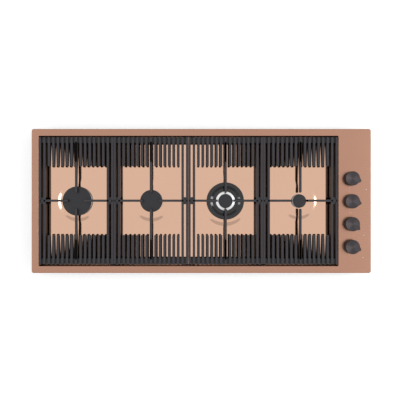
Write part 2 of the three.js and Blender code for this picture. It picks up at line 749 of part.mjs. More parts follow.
// A channel under the taps that stands on the box floor.
function makeBracket() {
  const top = tapBottom - CLEARANCE;
  const half = BRACKET.width / 2;
  const { sheet } = BRACKET;
  const section = polygon([
    [knobX - half, boxFloor],
    [knobX - half + sheet, boxFloor],
    [knobX - half + sheet, top - sheet],
    [knobX + half - sheet, top - sheet],
    [knobX + half - sheet, boxFloor],
    [knobX + half, boxFloor],
    [knobX + half, top],
    [knobX - half, top],
  ]);
  return solid(sideways(section, lastTapY - STRIP.overhang, firstTapY + STRIP.overhang));
}

// Three pipes run behind the burners in lanes of their own; the front tap's pipe goes straight in.
function makePipe(i) {
  const start = knobX - TAP.width / 2 - OUTLET.length - CLEARANCE;
  const tapY = knobPlaces[i].y;
  const endX = burnerX(i);
  const reach = cupRadius(BURNERS[i]) + CLEARANCE;
  const behind = i < BURNERS.length - 1;
  const nearest = Math.max(...BURNERS.map(cupRadius)) + PIPE.pastCup;
  const lane = behind ? nearest + (BURNERS.length - 2 - i) * PIPE.lanePitch : tapY;
  const turnX = start - PIPE.turnFromTap - i * PIPE.turnPitch;
  const place = (x, y) => new THREE.Vector3(x, y, GAS_LEVEL);
  const toLane = behind ? [place(turnX, tapY), place(turnX, lane)] : [];
  const end = place(endX, Math.sign(lane) * reach);
  const line = new BentLine([place(start, tapY), ...toLane, place(endX, lane), end], PIPE.bend);
  const section = polygon(arc(0, 0, PIPE.radius, 0, 2 * Math.PI, ROD_SIDES).slice(1));
  const steps = line.stations.length - 1;
  return solid(new THREE.ExtrudeGeometry(section, { steps, extrudePath: line }));
}

// Pieces on the back wall are turned about Z, then laid along +Y at the gas level.
function throughBack(manifold, x) {
  return solid(geometryOf(manifold).rotateX(-Math.PI / 2).translate(x, 0, GAS_LEVEL));
}

function makeInlet() {
  const start = manifoldBack + CLEARANCE;
  const end = boxDepth / 2 + INLET.pastBox;
  const stub = turned([
    [0, start],
    [INLET.radius, start],
    [INLET.radius, end],
    [INLET.bore, end],
    [INLET.bore, end - INLET.boreDepth],
    [0, end - INLET.boreDepth],
  ], SMALL_SIDES);
  const nut = drum(INLET.nut, start + BITE, start + BITE + INLET.nutLength, { sides: WIRE_SIDES });
  return throughBack(stub.add(nut), manifoldX);
}

function makeGland() {
  const wall = boxDepth / 2;
  const end = wall + GLAND.pastBox;
  return throughBack(turned([
    [0, wall - GLAND.inside],
    [GLAND.radius, wall - GLAND.inside],
    [GLAND.radius, wall + CLEARANCE],
    [GLAND.flange, wall + CLEARANCE],
    [GLAND.flange, wall + CLEARANCE + GLAND.flangeLength],
    [GLAND.radius, end],
    [GLAND.bore, end],
    [GLAND.bore, end - GLAND.boreDepth],
    [0, end - GLAND.boreDepth],
  ], SMALL_SIDES), glandX);
}

function makeIgnitionModule() {
  const { length, depth, height, edge } = MODULE;
  const top = boxFloor + height;
  const body = prism(roundedRectangle(length, depth, edge), boxFloor, top, edge / 2);
  const posts = [];
  for (let i = 0; i < TERMINAL.count; i += 1) {
    const x = ((i + 0.5) / TERMINAL.count - 0.5) * length;
    posts.push(drum(TERMINAL.radius, top - BITE, top + TERMINAL.height, { x, sides: ROD_SIDES }));
  }
  return join([body, ...posts]);
}

// ---------- the assembly ----------

const cooktop = new THREE.Group();

function add(name, manifold, material, { x = 0, y = 0, z = 0, turn = 0, parent = cooktop } = {}) {
  const mesh = new THREE.Mesh(manifold.isBufferGeometry ? manifold : geometryOf(manifold), material);
  mesh.name = name;
  mesh.position.set(x, y, z);
  mesh.rotation.z = THREE.MathUtils.degToRad(turn);
  parent.add(mesh);
}

add('top_plate', makeTopPlate(), copperSteel);
add('under_box', makeUnderBox(), zincSteel);
add('worktop_seal', makeSeal(), foam);
const clamp = geometryOf(makeClamp());
[[-1, 1], [1, 1], [-1, -1], [1, -1]].forEach(([right, back], i) => {
  const y = back * (boxDepth / 2 + CLEARANCE);
  const x = right * (boxLength / 2 - CLAMP.fromSide);
  add(`worktop_clamp_${i + 1}`, clamp, zincSteel, { x, y, turn: back * 90 });
});

const grate = geometryOf(makeGrate());
const sparkPlug = geometryOf(makeSparkPlug());
const thermocouple = geometryOf(makeThermocouple());
BURNERS.forEach((burner, i) => {
  const number = i + 1;
  const station = new THREE.Group();
  station.position.x = burnerX(i);
  cooktop.add(station);
  const parent = station;
  const ribRadius = ribIn(burner.crown - CROWN.wall);
  const wok = burner === WOK_RING;
  const cap = wok ? makeRingCap(burner) : makeCap(burner.cap, ribRadius, capUnder, CAP.thickness);
  const plugPlace = around(probeRadius(burner), PROBE.plugAngle);
  const thermoPlace = around(probeRadius(burner), PROBE.thermoAngle);
  add(`burner_cup_${number}`, makeCup(burner), castAluminium, { parent });
  add(`burner_crown_${number}`, makeCrown(burner), castAluminium, { parent });
  add(`burner_cap_${number}`, cap, blackEnamel, { parent });
  add(`spark_plug_${number}`, sparkPlug, ceramic, { ...plugPlace, parent });
  add(`thermocouple_${number}`, thermocouple, brass, { ...thermoPlace, parent });
  add(`grate_${number}`, grate, castIron, { y: grateY, z: PLATE.top, parent });
  if (!wok) return;
  const innerCapBottom = bossTop + WOK.ringTop + WOK.portHeight + CLEARANCE;
  const innerRib = ribIn(WOK.portRadius - WOK.innerWall);
  const innerCap = makeCap(WOK.cap, innerRib, innerCapBottom, WOK.capThickness);
  add('wok_inner_crown', makeWokCrown(), castAluminium, { parent });
  add('wok_inner_cap', innerCap, blackEnamel, { parent });
});

const knob = geometryOf(makeKnob());
const spindle = geometryOf(makeSpindle());
const collar = geometryOf(makeCollar());
const tap = geometryOf(makeTap());
knobPlaces.forEach(({ y, turn }, i) => {
  const number = i + 1;
  const place = { x: knobX, y };
  add(`knob_${number}`, knob, darkMetal, { ...place, turn });
  add(`tap_spindle_${number}`, spindle, zincSteel, { ...place, turn });
  add(`press_collar_${number}`, collar, blackPlastic, place);
  add(`gas_tap_${number}`, tap, brass, place);
  add(`gas_pipe_${number}`, makePipe(i), tubeAluminium);
});

add('ignition_switch_strip', makeSwitchStrip(), blackPlastic);
add('gas_manifold', makeManifold(), zincSteel);
add('tap_bracket', makeBracket(), zincSteel);
add('gas_inlet', makeInlet(), brass);
add('cable_gland', makeGland(), blackPlastic);
const modulePlace = { x: knobX - MODULE.leftOfTap, y: firstTapY + MODULE.behindTap, turn: 90 };
add('ignition_module', makeIgnitionModule(), blackPlastic, modulePlace);

export default cooktop;
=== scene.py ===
"""Looks of a built-in gas cooktop: copper-coloured satin steel, black cast iron grates,
enamelled burner caps and spun metal knobs. Metres, +Z up, +Y to the back."""

import json
import math

import bmesh
import bpy
from mathutils import Matrix, Vector


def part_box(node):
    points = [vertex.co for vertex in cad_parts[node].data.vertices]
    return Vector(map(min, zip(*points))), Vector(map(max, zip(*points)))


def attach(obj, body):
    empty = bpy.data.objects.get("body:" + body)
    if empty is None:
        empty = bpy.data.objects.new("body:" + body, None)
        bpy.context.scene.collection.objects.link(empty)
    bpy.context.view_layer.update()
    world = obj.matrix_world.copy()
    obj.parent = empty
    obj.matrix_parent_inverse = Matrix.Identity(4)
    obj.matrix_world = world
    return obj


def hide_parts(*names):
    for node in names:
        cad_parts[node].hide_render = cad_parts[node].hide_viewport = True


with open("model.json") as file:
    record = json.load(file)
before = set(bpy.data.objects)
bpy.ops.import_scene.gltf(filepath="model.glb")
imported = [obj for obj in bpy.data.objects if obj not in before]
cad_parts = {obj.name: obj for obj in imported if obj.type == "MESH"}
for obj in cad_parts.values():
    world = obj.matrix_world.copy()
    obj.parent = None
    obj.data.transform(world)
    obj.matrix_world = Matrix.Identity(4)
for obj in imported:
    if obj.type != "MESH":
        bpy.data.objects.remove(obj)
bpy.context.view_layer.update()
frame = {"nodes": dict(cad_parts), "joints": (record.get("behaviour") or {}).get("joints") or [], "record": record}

MM = 0.001
BURNERS = (1, 2, 3, 4)
WOK = 3
ROUND = 96  # steps of a burner's rounds
STUB_ROUND = 48  # of the gas inlet and the cable gland
HOLE_ROUND = 32  # of the spindles' holes
ROD_ROUND = 24  # of plugs, flame sensors, screws and feet

plate_low, plate_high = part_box("top_plate")
PLATE_TOP = plate_high.z
SHEET = 1.5 * MM
LIP = 5 * MM
PLATE_CORNER = 8 * MM
WELL_LENGTH = 1060 * MM
WELL_DEPTH = 460 * MM
WELL_DROP = 36 * MM
WELL_RIM = 25 * MM
WELL_CORNER = 4 * MM
MOUTH_ROUND = 1.8 * MM
FLOOR_ROUND = 2.2 * MM
PLATE_EDGE = 1.6 * MM  # rounding between the face and the lip
SPINDLE_HOLE = 4.6 * MM
BOSS_HEIGHT = 4 * MM
BOSS_SLOPE = 19 * MM
BOSS_ROUND = 20 * MM
BOSS_SOFT = 6 * MM
BOSS_WHOLE = 4 * MM  # a boss's top is whole to this far within its crown's wall
BOSS_HOLE = 5.5 * MM  # and its hole begins this far within it
WELL_X = plate_low.x + WELL_RIM + WELL_LENGTH / 2
FLOOR_TOP = PLATE_TOP - WELL_DROP
BOSS_TOP = FLOOR_TOP + BOSS_HEIGHT
CROWN_FLOOR = 3 * MM
CROWN_SKIRT = 6 * MM


def middle(node):
    low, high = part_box(node)
    return (low + high) / 2


def radius_of(node):
    low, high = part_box(node)
    return (high.y - low.y) / 2


burner_centre = {n: middle(f"burner_cap_{n}") for n in BURNERS}
cap_radius = {n: radius_of(f"burner_cap_{n}") for n in BURNERS}
crown_radius = {n: radius_of(f"burner_crown_{n}") - CROWN_SKIRT for n in BURNERS}
boss_radius = {1: 58 * MM, 2: 58 * MM, 3: 74 * MM, 4: 51 * MM}
joint_place = {j["name"]: Vector(j["pos_m"]) for j in frame["joints"] if "pos_m" in j}

# ---------- camera, floor and light ----------

CAMERA_X = -45 * MM
CAMERA_HEIGHT = 1735 * MM
CAMERA_SHIFT = (0.0287, 0.0025)  # slides the picture without turning the camera
VIEW_WIDTH = 1414 * MM  # what the view spans at the plate's top
SENSOR = 36
ROOM_LEVEL = 0.48
BACKDROP_FADE = (0.2, 0.5)  # heights between which the mirrored backdrop fades away
FLOOR_REACH = 6  # metres from the floor's middle to its edge
FLOOR_GLOW = 0.42

# a light's place, its width and depth, and how bright its face is, where 1 is white
LIGHTS = {
    "overhead_softbox": ((0, 0.45, 3.0), 6.8, 3.3, 0.5),
    "front_fill": ((0, -1.8, 3.0), 6.8, 1.2, 0.2),
    "left_strip": ((-2.8, -0.05, 2.9), 0.3, 1.7, 5.0),
    "right_strip": ((2.8, 0.1, 2.9), 0.34, 2.0, 9.0),
    "far_right_strip": ((4.0, 0.1, 2.9), 0.4, 2.6, 9.0),
}


def make_camera():
    data = bpy.data.cameras.new("camera")
    data.sensor_width = SENSOR
    data.lens = SENSOR * CAMERA_HEIGHT / VIEW_WIDTH
    data.shift_x, data.shift_y = CAMERA_SHIFT
    camera = bpy.data.objects.new("camera", data)
    camera.location = (CAMERA_X, 0, PLATE_TOP + CAMERA_HEIGHT)
    bpy.context.scene.collection.objects.link(camera)
    bpy.context.scene.camera = camera


def node(tree, kind, values=None, **settings):
    made = tree.nodes.new(kind)
    for name, value in settings.items():
        setattr(made, name, value)
    for name, value in (values or {}).items():
        made.inputs[name].default_value = value
    return made


def camera_or_glass(tree):
    """1 on rays that the camera sends, straight or through glass."""
    path = node(tree, "ShaderNodeLightPath")
    first = node(tree, "ShaderNodeMath", operation="MAXIMUM")
    tree.links.new(path.outputs["Is Camera Ray"], first.inputs[0])
    tree.links.new(path.outputs["Is Transmission Ray"], first.inputs[1])
    return path, first.outputs[0]


def make_world():
    """A white backdrop round the horizon, which metal mirrors too, under a dimmer ceiling."""
    world = bpy.data.worlds.new("studio")
    bpy.context.scene.world = world
    world.use_nodes = True
    tree = world.node_tree
    tree.nodes.clear()
    out = node(tree, "ShaderNodeOutputWorld")
    room = node(tree, "ShaderNodeBackground", {"Color": (1, 1, 1, 1), "Strength": ROOM_LEVEL})
    white = node(tree, "ShaderNodeBackground", {"Color": (1, 1, 1, 1), "Strength": 1})
    mix = node(tree, "ShaderNodeMixShader")
    way = node(tree, "ShaderNodeTexCoord")
    height = node(tree, "ShaderNodeSeparateXYZ")
    fade = {"From Min": BACKDROP_FADE[0], "From Max": BACKDROP_FADE[1], "To Min": 1.0, "To Max": 0.0}
    low = node(tree, "ShaderNodeMapRange", fade)
    mirrored = node(tree, "ShaderNodeMath", operation="MULTIPLY")
    shown = node(tree, "ShaderNodeMath", operation="MAXIMUM")
    path, direct = camera_or_glass(tree)
    link = tree.links.new
    link(way.outputs["Generated"], height.inputs[0])
    link(height.outputs["Z"], low.inputs["Value"])
    link(low.outputs[0], mirrored.inputs[0])
    link(path.outputs["Is Glossy Ray"], mirrored.inputs[1])
    link(mirrored.outputs[0], shown.inputs[0])
    link(direct, shown.inputs[1])
    link(shown.outputs[0], mix.inputs[0])
    link(room.outputs[0], mix.inputs[1])
    link(white.outputs[0], mix.inputs[2])
    link(mix.outputs[0], out.inputs[0])


def make_floor():
    bm = bmesh.new()
    bmesh.ops.create_grid(bm, x_segments=1, y_segments=1, size=FLOOR_REACH)
    mesh = bpy.data.meshes.new("floor")
    bm.to_mesh(mesh)
    bm.free()
    floor = bpy.data.objects.new("floor", mesh)
    bpy.context.scene.collection.objects.link(floor)
    pale, tree, shader = material(
        "pale_floor", Base_Color=(0.86, 0.86, 0.86, 1), Roughness=0.8, Emission_Color=(1, 1, 1, 1)
    )
    glow = node(tree, "ShaderNodeMath", {1: FLOOR_GLOW}, operation="MULTIPLY")
    tree.links.new(camera_or_glass(tree)[1], glow.inputs[0])
    tree.links.new(glow.outputs[0], shader.inputs["Emission Strength"])
    mesh.materials.append(pale)


def make_lights():
    """Softboxes that all look straight down."""
    down = Vector((0, 0, -1)).to_track_quat("-Z", "Y").to_euler()
    for name, (place, width, depth, level) in LIGHTS.items():
        data = bpy.data.lights.new(name, "AREA")
        data.shape = "RECTANGLE"
        data.size = width
        data.size_y = depth
        data.energy = level * math.pi * width * depth
        lamp = bpy.data.objects.new(name, data)
        lamp.location = place
        lamp.rotation_euler = down
        bpy.context.scene.collection.objects.link(lamp)


# ---------- shared surface effects ----------


def group(name, inputs, outputs):
    tree = bpy.data.node_groups.new(name, "ShaderNodeTree")
    for label, kind, value in inputs:
        socket = tree.interface.new_socket(name=label, in_out="INPUT", socket_type=kind)
        socket.default_value = value
    for label, kind in outputs:
        tree.interface.new_socket(name=label, in_out="OUTPUT", socket_type=kind)
    return tree, node(tree, "NodeGroupInput"), node(tree, "NodeGroupOutput")


def make_brushing():
    """Fine lines along X: a height and a roughness that waver a little."""
    tree, given, out = group(
        "brushing",
        [("Length", "NodeSocketFloat", 6.0), ("Fineness", "NodeSocketFloat", 900.0),
         ("Roughness", "NodeSocketFloat", 0.3), ("Waver", "NodeSocketFloat", 0.08)],
        [("Height", "NodeSocketFloat"), ("Roughness", "NodeSocketFloat")],
    )
    place = node(tree, "ShaderNodeTexCoord")
    scale = node(tree, "ShaderNodeCombineXYZ")
    stretch = node(tree, "ShaderNodeVectorMath", operation="MULTIPLY")
    lines = node(tree, "ShaderNodeTexNoise", {"Scale": 1, "Detail": 4, "Roughness": 0.7})
    cloud = node(tree, "ShaderNodeTexNoise", {"Scale": 5, "Detail": 3})
    mixed = node(tree, "ShaderNodeMath", operation="ADD")
    centred = node(tree, "ShaderNodeMath", {1: 1.0}, operation="SUBTRACT")
    rough = node(tree, "ShaderNodeMath", operation="MULTIPLY_ADD")
    link = tree.links.new
    link(given.outputs["Length"], scale.inputs[0])
    link(given.outputs["Fineness"], scale.inputs[1])
    link(given.outputs["Fineness"], scale.inputs[2])
    link(place.outputs["Object"], stretch.inputs[0])
    link(scale.outputs[0], stretch.inputs[1])
    link(stretch.outputs[0], lines.inputs["Vector"])
    link(place.outputs["Object"], cloud.inputs["Vector"])
    link(lines.outputs[0], mixed.inputs[0])
    link(cloud.outputs[0], mixed.inputs[1])
    link(mixed.outputs[0], centred.inputs[0])
    link(centred.outputs[0], rough.inputs[0])
    link(given.outputs["Waver"], rough.inputs[1])
    link(given.outputs["Roughness"], rough.inputs[2])
    link(lines.outputs[0], out.inputs["Height"])
    link(rough.outputs[0], out.inputs["Roughness"])
    return tree


def make_grain():
    """A cast or sprayed skin: a height, and a shade mask from fine pits and slow clouds."""
    tree, given, out = group(
        "skin_grain",
        [("Scale", "NodeSocketFloat", 900.0), ("Cloud scale", "NodeSocketFloat", 12.0)],
        [("Height", "NodeSocketFloat"), ("Shade", "NodeSocketFloat")],
    )
    place = node(tree, "ShaderNodeTexCoord")
    pits = node(tree, "ShaderNodeTexNoise", {"Detail": 5, "Roughness": 0.6})
    cloud = node(tree, "ShaderNodeTexNoise", {"Detail": 4, "Roughness": 0.55})
    shade = node(tree, "ShaderNodeMath", {1: 0.5, 2: 0.25}, operation="MULTIPLY_ADD")
    link = tree.links.new
    link(place.outputs["Object"], pits.inputs["Vector"])
    link(place.outputs["Object"], cloud.inputs["Vector"])
    link(given.outputs["Scale"], pits.inputs["Scale"])
    link(given.outputs["Cloud scale"], cloud.inputs["Scale"])
    link(cloud.outputs[0], shade.inputs[0])
    link(pits.outputs[0], out.inputs["Height"])
    link(shade.outputs[0], out.inputs["Shade"])
    return tree


brushing = make_brushing()
grain = make_grain()


def material(name, **sockets):
    made = bpy.data.materials.new(name)
    made.use_nodes = True
    shader = made.node_tree.nodes["Principled BSDF"]
    for label, value in sockets.items():
        shader.inputs[label.replace("_", " ")].default_value = value
    return made, made.node_tree, shader


def place_group(tree, shared, **values):
    used = node(tree, "ShaderNodeGroup", node_tree=shared)
    for label, value in values.items():
        used.inputs[label.replace("_", " ")].default_value = value
    return used


def bump(tree, shader, height, strength, distance):
    made = node(tree, "ShaderNodeBump", {"Strength": strength, "Distance": distance})
    tree.links.new(height, made.inputs["Height"])
    tree.links.new(made.outputs[0], shader.inputs["Normal"])


def shaded(tree, shader, mask, dark, light):
    mix = node(tree, "ShaderNodeMix", data_type="RGBA")
    mix.inputs["A"].default_value = (*dark, 1)
    mix.inputs["B"].default_value = (*light, 1)
    tree.links.new(mask, mix.inputs["Factor"])
    tree.links.new(mix.outputs["Result"], shader.inputs["Base Color"])


CAST_GRAIN = {"Scale": 800.0, "Cloud_scale": 14.0}
GRAIN_STRENGTH = 0.35
FINE = 0.0001  # depth in metres of a smooth skin's grain
POLISHED = 0.00005


def copper(name, dark, light, roughness):
    made, tree, shader = material(name, Metallic=1.0, Anisotropic=0.25)
    lines = place_group(tree, brushing, Length=8.0, Fineness=1200.0, Roughness=roughness, Waver=0.06)
    skin = place_group(tree, grain, Scale=700.0, Cloud_scale=5.0)
    tree.links.new(lines.outputs["Roughness"], shader.inputs["Roughness"])
    shaded(tree, shader, skin.outputs["Shade"], dark, light)
    bump(tree, shader, lines.outputs["Height"], 0.04, 0.0002)
    return made


def cast(name, dark, light, roughness, metallic=0.0, depth=0.0004, specular=0.5):
    made, tree, shader = material(name, Metallic=metallic, Roughness=roughness, Specular_IOR_Level=specular)
    skin = place_group(tree, grain, **CAST_GRAIN)
    shaded(tree, shader, skin.outputs["Shade"], dark, light)
    bump(tree, shader, skin.outputs["Height"], GRAIN_STRENGTH, depth)
    return made


RIM_COPPER = copper("copper_rim", (0.44, 0.24, 0.168), (0.50, 0.275, 0.195), 0.26)
FLOOR_COPPER = copper("copper_floor", (0.69, 0.43, 0.31), (0.74, 0.475, 0.345), 0.06)
CAP_ENAMEL = cast("cap_enamel", (0.010, 0.010, 0.014), (0.017, 0.017, 0.023), 0.4, depth=FINE)
RING_ENAMEL = cast(
    "ring_enamel", (0.003, 0.003, 0.003), (0.007, 0.006, 0.007), 0.08, depth=0.000001, specular=0.6
)
CROWN_METAL = cast("crown_cast_aluminium", (0.30, 0.30, 0.29), (0.5, 0.5, 0.49), 0.42, metallic=1.0)
BRIGHT_METAL = cast(
    "wok_crown_bright", (0.85, 0.85, 0.85), (0.93, 0.93, 0.93), 0.34, metallic=1.0, depth=FINE
)
ZINC = cast("zinc_sheet", (0.38, 0.39, 0.4), (0.5, 0.51, 0.52), 0.42, metallic=0.9, depth=FINE)
BRASS = cast("brass", (0.5, 0.36, 0.14), (0.62, 0.46, 0.2), 0.35, metallic=1.0, depth=FINE)
TUBE = cast("tube_aluminium", (0.55, 0.55, 0.56), (0.68, 0.68, 0.69), 0.35, metallic=1.0, depth=FINE)
CERAMIC = cast("plug_ceramic", (0.74, 0.72, 0.66), (0.84, 0.82, 0.77), 0.35, depth=FINE)
FOAM = cast("seal_foam", (0.015, 0.015, 0.016), (0.03, 0.03, 0.032), 0.9)
PLASTIC = cast("black_moulding", (0.012, 0.012, 0.013), (0.022, 0.022, 0.023), 0.5, depth=FINE)
KNOB_SIDE = cast(
    "knob_side", (0.006, 0.005, 0.005), (0.012, 0.011, 0.012), 0.35, depth=POLISHED, specular=0.25
)
MARK = cast("panel_mark", (0.8, 0.74, 0.7), (0.9, 0.85, 0.82), 0.5, depth=POLISHED)

SHADE_AND_RUB_DEPTHS = (8 * MM, 0.8 * MM)  # depths under a grate's top between which the colour goes from painted shade to the lighter top, and the roughness from rough to pan-rubbed smooth


def make_cast_iron():
    """Cast iron with painted shade: its colour darkens from the tops down into the hollows, where shade falls, and
    its tops, where the pans stand, are rubbed smoother.
    """
    made, tree, shader = material("grate_cast_iron", Specular_IOR_Level=0.35)
    skin = place_group(tree, grain, **CAST_GRAIN)
    place = node(tree, "ShaderNodeTexCoord")
    height = node(tree, "ShaderNodeSeparateXYZ")
    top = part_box("grate_1")[1].z
    # height ramp of the painted shade, which also sets the roughness of the rubbed tops
    shade_and_rub = node(
        tree, "ShaderNodeMapRange", {"From Min": top - SHADE_AND_RUB_DEPTHS[0], "From Max": top - SHADE_AND_RUB_DEPTHS[1]}
    )
    uneven = node(tree, "ShaderNodeMath", {1: 0.6, 2: 0.7}, operation="MULTIPLY_ADD")
    mask = node(tree, "ShaderNodeMath", operation="MULTIPLY")
    rough = node(tree, "ShaderNodeMapRange", {"To Min": 0.5, "To Max": 0.32})
    link = tree.links.new
    link(place.outputs["Object"], height.inputs[0])
    link(height.outputs["Z"], shade_and_rub.inputs["Value"])
    link(skin.outputs["Shade"], uneven.inputs[0])
    link(shade_and_rub.outputs[0], mask.inputs[0])
    link(uneven.outputs[0], mask.inputs[1])
    link(shade_and_rub.outputs[0], rough.inputs["Value"])
    link(rough.outputs[0], shader.inputs["Roughness"])
    # painted shade: the dark colour fills the casting's lower parts and hollows, the light one its tops
    shaded(tree, shader, mask.outputs[0], (0.006, 0.005, 0.0055), (0.044, 0.040, 0.046))
    bump(tree, shader, skin.outputs["Height"], GRAIN_STRENGTH, FINE)
    return made


def make_spun_face():
    """Concentric turning marks, stretched along the turning direction by the face's own map."""
    made, tree, shader = material(
        "knob_spun_face", Metallic=1.0, Roughness=0.42, Anisotropic=0.9, Anisotropic_Rotation=0.25
    )
    uv = node(tree, "ShaderNodeUVMap", uv_map="turning")
    rings = node(tree, "ShaderNodeTexNoise", {"Scale": 1, "Detail": 3})
    squeeze = node(tree, "ShaderNodeMapping", {"Scale": (3, 260, 1)})
    tangent = node(tree, "ShaderNodeTangent", direction_type="UV_MAP", uv_map="turning")
    link = tree.links.new
    link(uv.outputs[0], squeeze.inputs[0])
    link(squeeze.outputs[0], rings.inputs["Vector"])
    shaded(tree, shader, rings.outputs[0], (0.052, 0.045, 0.049), (0.122, 0.107, 0.114))
    link(tangent.outputs[0], shader.inputs["Tangent"])
    return made


CAST_IRON = make_cast_iron()
KNOB_FACE = make_spun_face()

# ---------- mesh helpers ----------

SMOOTH_ANGLE = math.radians(32)
WELD = 1e-6  # points closer than this become one
NEAR = 1e-5  # how close a point lies to the round it is looked for on
CORNER_STEPS = 6


def weld(bm):
    """Joins points that meet, and turns the faces outward."""
    bmesh.ops.remove_doubles(bm, verts=bm.verts, dist=WELD)
    bmesh.ops.recalc_face_normals(bm, faces=bm.faces)


def round_off(bm, geom, offset, segments=2, affect="EDGES", **settings):
    return bmesh.ops.bevel(
        bm, geom=geom, offset=offset, segments=segments, profile=0.5, affect=affect, material=-1, **settings
    )


def pull(bm, faces, way):
    """Pulls flat faces out into a solid. Gives back what was raised."""
    raised = bmesh.ops.extrude_face_region(bm, geom=faces)["geom"]
    bmesh.ops.translate(bm, vec=way, verts=[v for v in raised if isinstance(v, bmesh.types.BMVert)])
    return raised


def move(bm, way):
    bmesh.ops.translate(bm, vec=way, verts=bm.verts)


def turn_about_z(bm, angle):
    bmesh.ops.rotate(bm, cent=(0, 0, 0), matrix=Matrix.Rotation(angle, 3, "Z"), verts=bm.verts)


def fill(bm, edges):
    bmesh.ops.triangle_fill(bm, edges=edges, use_beauty=True)


def largest(faces):
    return max(faces, key=lambda f: f.calc_area())


def face_up(bm, up):
    """Turns a sheet over unless its largest face looks up, or down where up is -1."""
    if largest(bm.faces).normal.z * up < 0:
        bmesh.ops.reverse_faces(bm, faces=bm.faces)


def keep_flat(piece):
    modifier = piece.modifiers.new("flat_faces_stay_flat", "WEIGHTED_NORMAL")
    modifier.keep_sharp = True


def thicken(piece, thickness, even):
    """Gives a surface the thickness of its sheet, on its inner side."""
    wall = piece.modifiers.new("sheet", "SOLIDIFY")
    wall.thickness = thickness
    wall.offset = -1
    wall.use_even_offset = even
    keep_flat(piece)


def finish_piece(name, bm, materials, body, replaced=(), weighted=False):
    """Turns a mesh into a piece that rides on its body and stands in for the nodes it replaces."""
    mesh = bpy.data.meshes.new(name)
    bm.to_mesh(mesh)
    bm.free()
    for used in materials:
        mesh.materials.append(used)
    mesh.shade_smooth()
    mesh.set_sharp_from_angle(angle=SMOOTH_ANGLE)
    piece = bpy.data.objects.new(name, mesh)
    bpy.context.scene.collection.objects.link(piece)
    if weighted:
        keep_flat(piece)
    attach(piece, body)
    if replaced:
        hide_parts(*replaced)
    return piece


def rounded_loop(bm, length, depth, radius, x, z, y=0.0):
    """The edges of a flat rectangle with round corners."""
    made = bmesh.ops.create_grid(bm, x_segments=1, y_segments=1, size=0.5)
    bmesh.ops.scale(bm, vec=(length, depth, 1), verts=made["verts"])
    bmesh.ops.translate(bm, vec=(x, y, z), verts=made["verts"])
    face = made["verts"][0].link_faces[0]
    cut = round_off(bm, list(face.verts), radius, CORNER_STEPS, "VERTICES")
    face = next(f for f in bm.faces if f.is_valid and cut["verts"][0] in f.verts)
    edges = list(face.edges)
    bmesh.ops.delete(bm, geom=[face], context="FACES_ONLY")
    return edges


def grown_loop(bm, size, radius, out, x, z, y=0.0):
    """A rounded rectangle, grown by the same width all round."""
    return rounded_loop(bm, size[0] + 2 * out, size[1] + 2 * out, radius + out, x, z, y)


def circle_loop(bm, radius, x, y, z, steps):
    made = bmesh.ops.create_circle(bm, radius=radius, segments=steps)
    bmesh.ops.translate(bm, vec=(x, y, z), verts=made["verts"])
    return list({edge for vert in made["verts"] for edge in vert.link_edges})


def bridge(bm, *loops):
    for first, second in zip(loops, loops[1:]):
        bmesh.ops.bridge_loops(bm, edges=first + second)


def fillet(centre_out, centre_z, radius, start, end, steps=4):
    """Points of an arc as (outward, height), from one angle to another in degrees."""
    for i in range(steps + 1):
        angle = math.radians(start + (end - start) * i / steps)
        yield centre_out + radius * math.cos(angle), centre_z + radius * math.sin(angle)


def put_in(bm, part):
    """Joins a finished part into the piece's mesh."""
    weld(part)
    mesh = bpy.data.meshes.new("part")
    part.to_mesh(mesh)
    part.free()
    bm.from_mesh(mesh)
    bpy.data.meshes.remove(mesh)


def spun(bm, outline, x, y, steps=ROUND, ports=None):
    """Turns an outline of (radius, height) about an upright axis."""
    part = bmesh.new()
    verts = [part.verts.new((radius, 0, height)) for radius, height in outline]
    edges = [part.edges.new(pair) for pair in zip(verts, verts[1:])]
    bmesh.ops.spin(
        part, geom=verts + edges, cent=(0, 0, 0), axis=(0, 0, 1), angle=2 * math.pi, steps=steps,
        use_merge=True,
    )
    weld(part)
    if ports:
        press_ports(part, *ports)
    move(part, (x, y, 0))
    put_in(bm, part)


def press_ports(part, count, columns, low, high, depth):
    """Sinks one face in every few of a turned wall, to make a row of flame ports."""
    chosen = []
    for face in part.faces:
        centre = face.calc_center_median()
        share = math.atan2(centre.y, centre.x) / (2 * math.pi) % 1
        faces_out = centre.xy.dot(face.normal.xy) > 0.9 * centre.xy.length
        if faces_out and low < centre.z < high and int(share * count * columns) % columns == 0:
            chosen.append(face)
    for face in bmesh.ops.extrude_discrete_faces(part, faces=chosen)["faces"]:
        bmesh.ops.translate(part, vec=face.normal * -depth, verts=face.verts)


def softened(points, radius, steps=3):
    """The outline with each of its corners rounded, but for its two ends."""
    result = [points[0]]
    for before, corner, after in zip(points, points[1:], points[2:]):
        a = Vector(before) - Vector(corner)
        b = Vector(after) - Vector(corner)
        reach = min(radius, a.length * 0.45, b.length * 0.45)
        start = Vector(corner) + a.normalized() * reach
        end = Vector(corner) + b.normalized() * reach
        for i in range(steps + 1):
            t = i / steps
            result.append(tuple(start * (1 - t) ** 2 + Vector(corner) * 2 * t * (1 - t) + end * t**2))
    result.append(points[-1])
    return result


def block(bm, low, high, edge):
    """A box between two corners, with rounded edges."""
    part = bmesh.new()
    bmesh.ops.create_cube(part, size=1)
    bmesh.ops.scale(part, vec=[b - a for a, b in zip(low, high)], verts=part.verts)
    move(part, [(a + b) / 2 for a, b in zip(low, high)])
    round_off(part, part.edges, edge)
    put_in(bm, part)


def hexagon(bm, radius, bottom, top, x, y, edge):
    """An upright six-sided block, as of a nut or a screw's head."""
    part = bmesh.new()
    bmesh.ops.create_circle(part, cap_ends=True, radius=radius, segments=6)
    pull(part, list(part.faces), (0, 0, top - bottom))
    round_off(part, part.edges, edge)
    move(part, (x, y, bottom))
    put_in(bm, part)


# ---------- top plate ----------


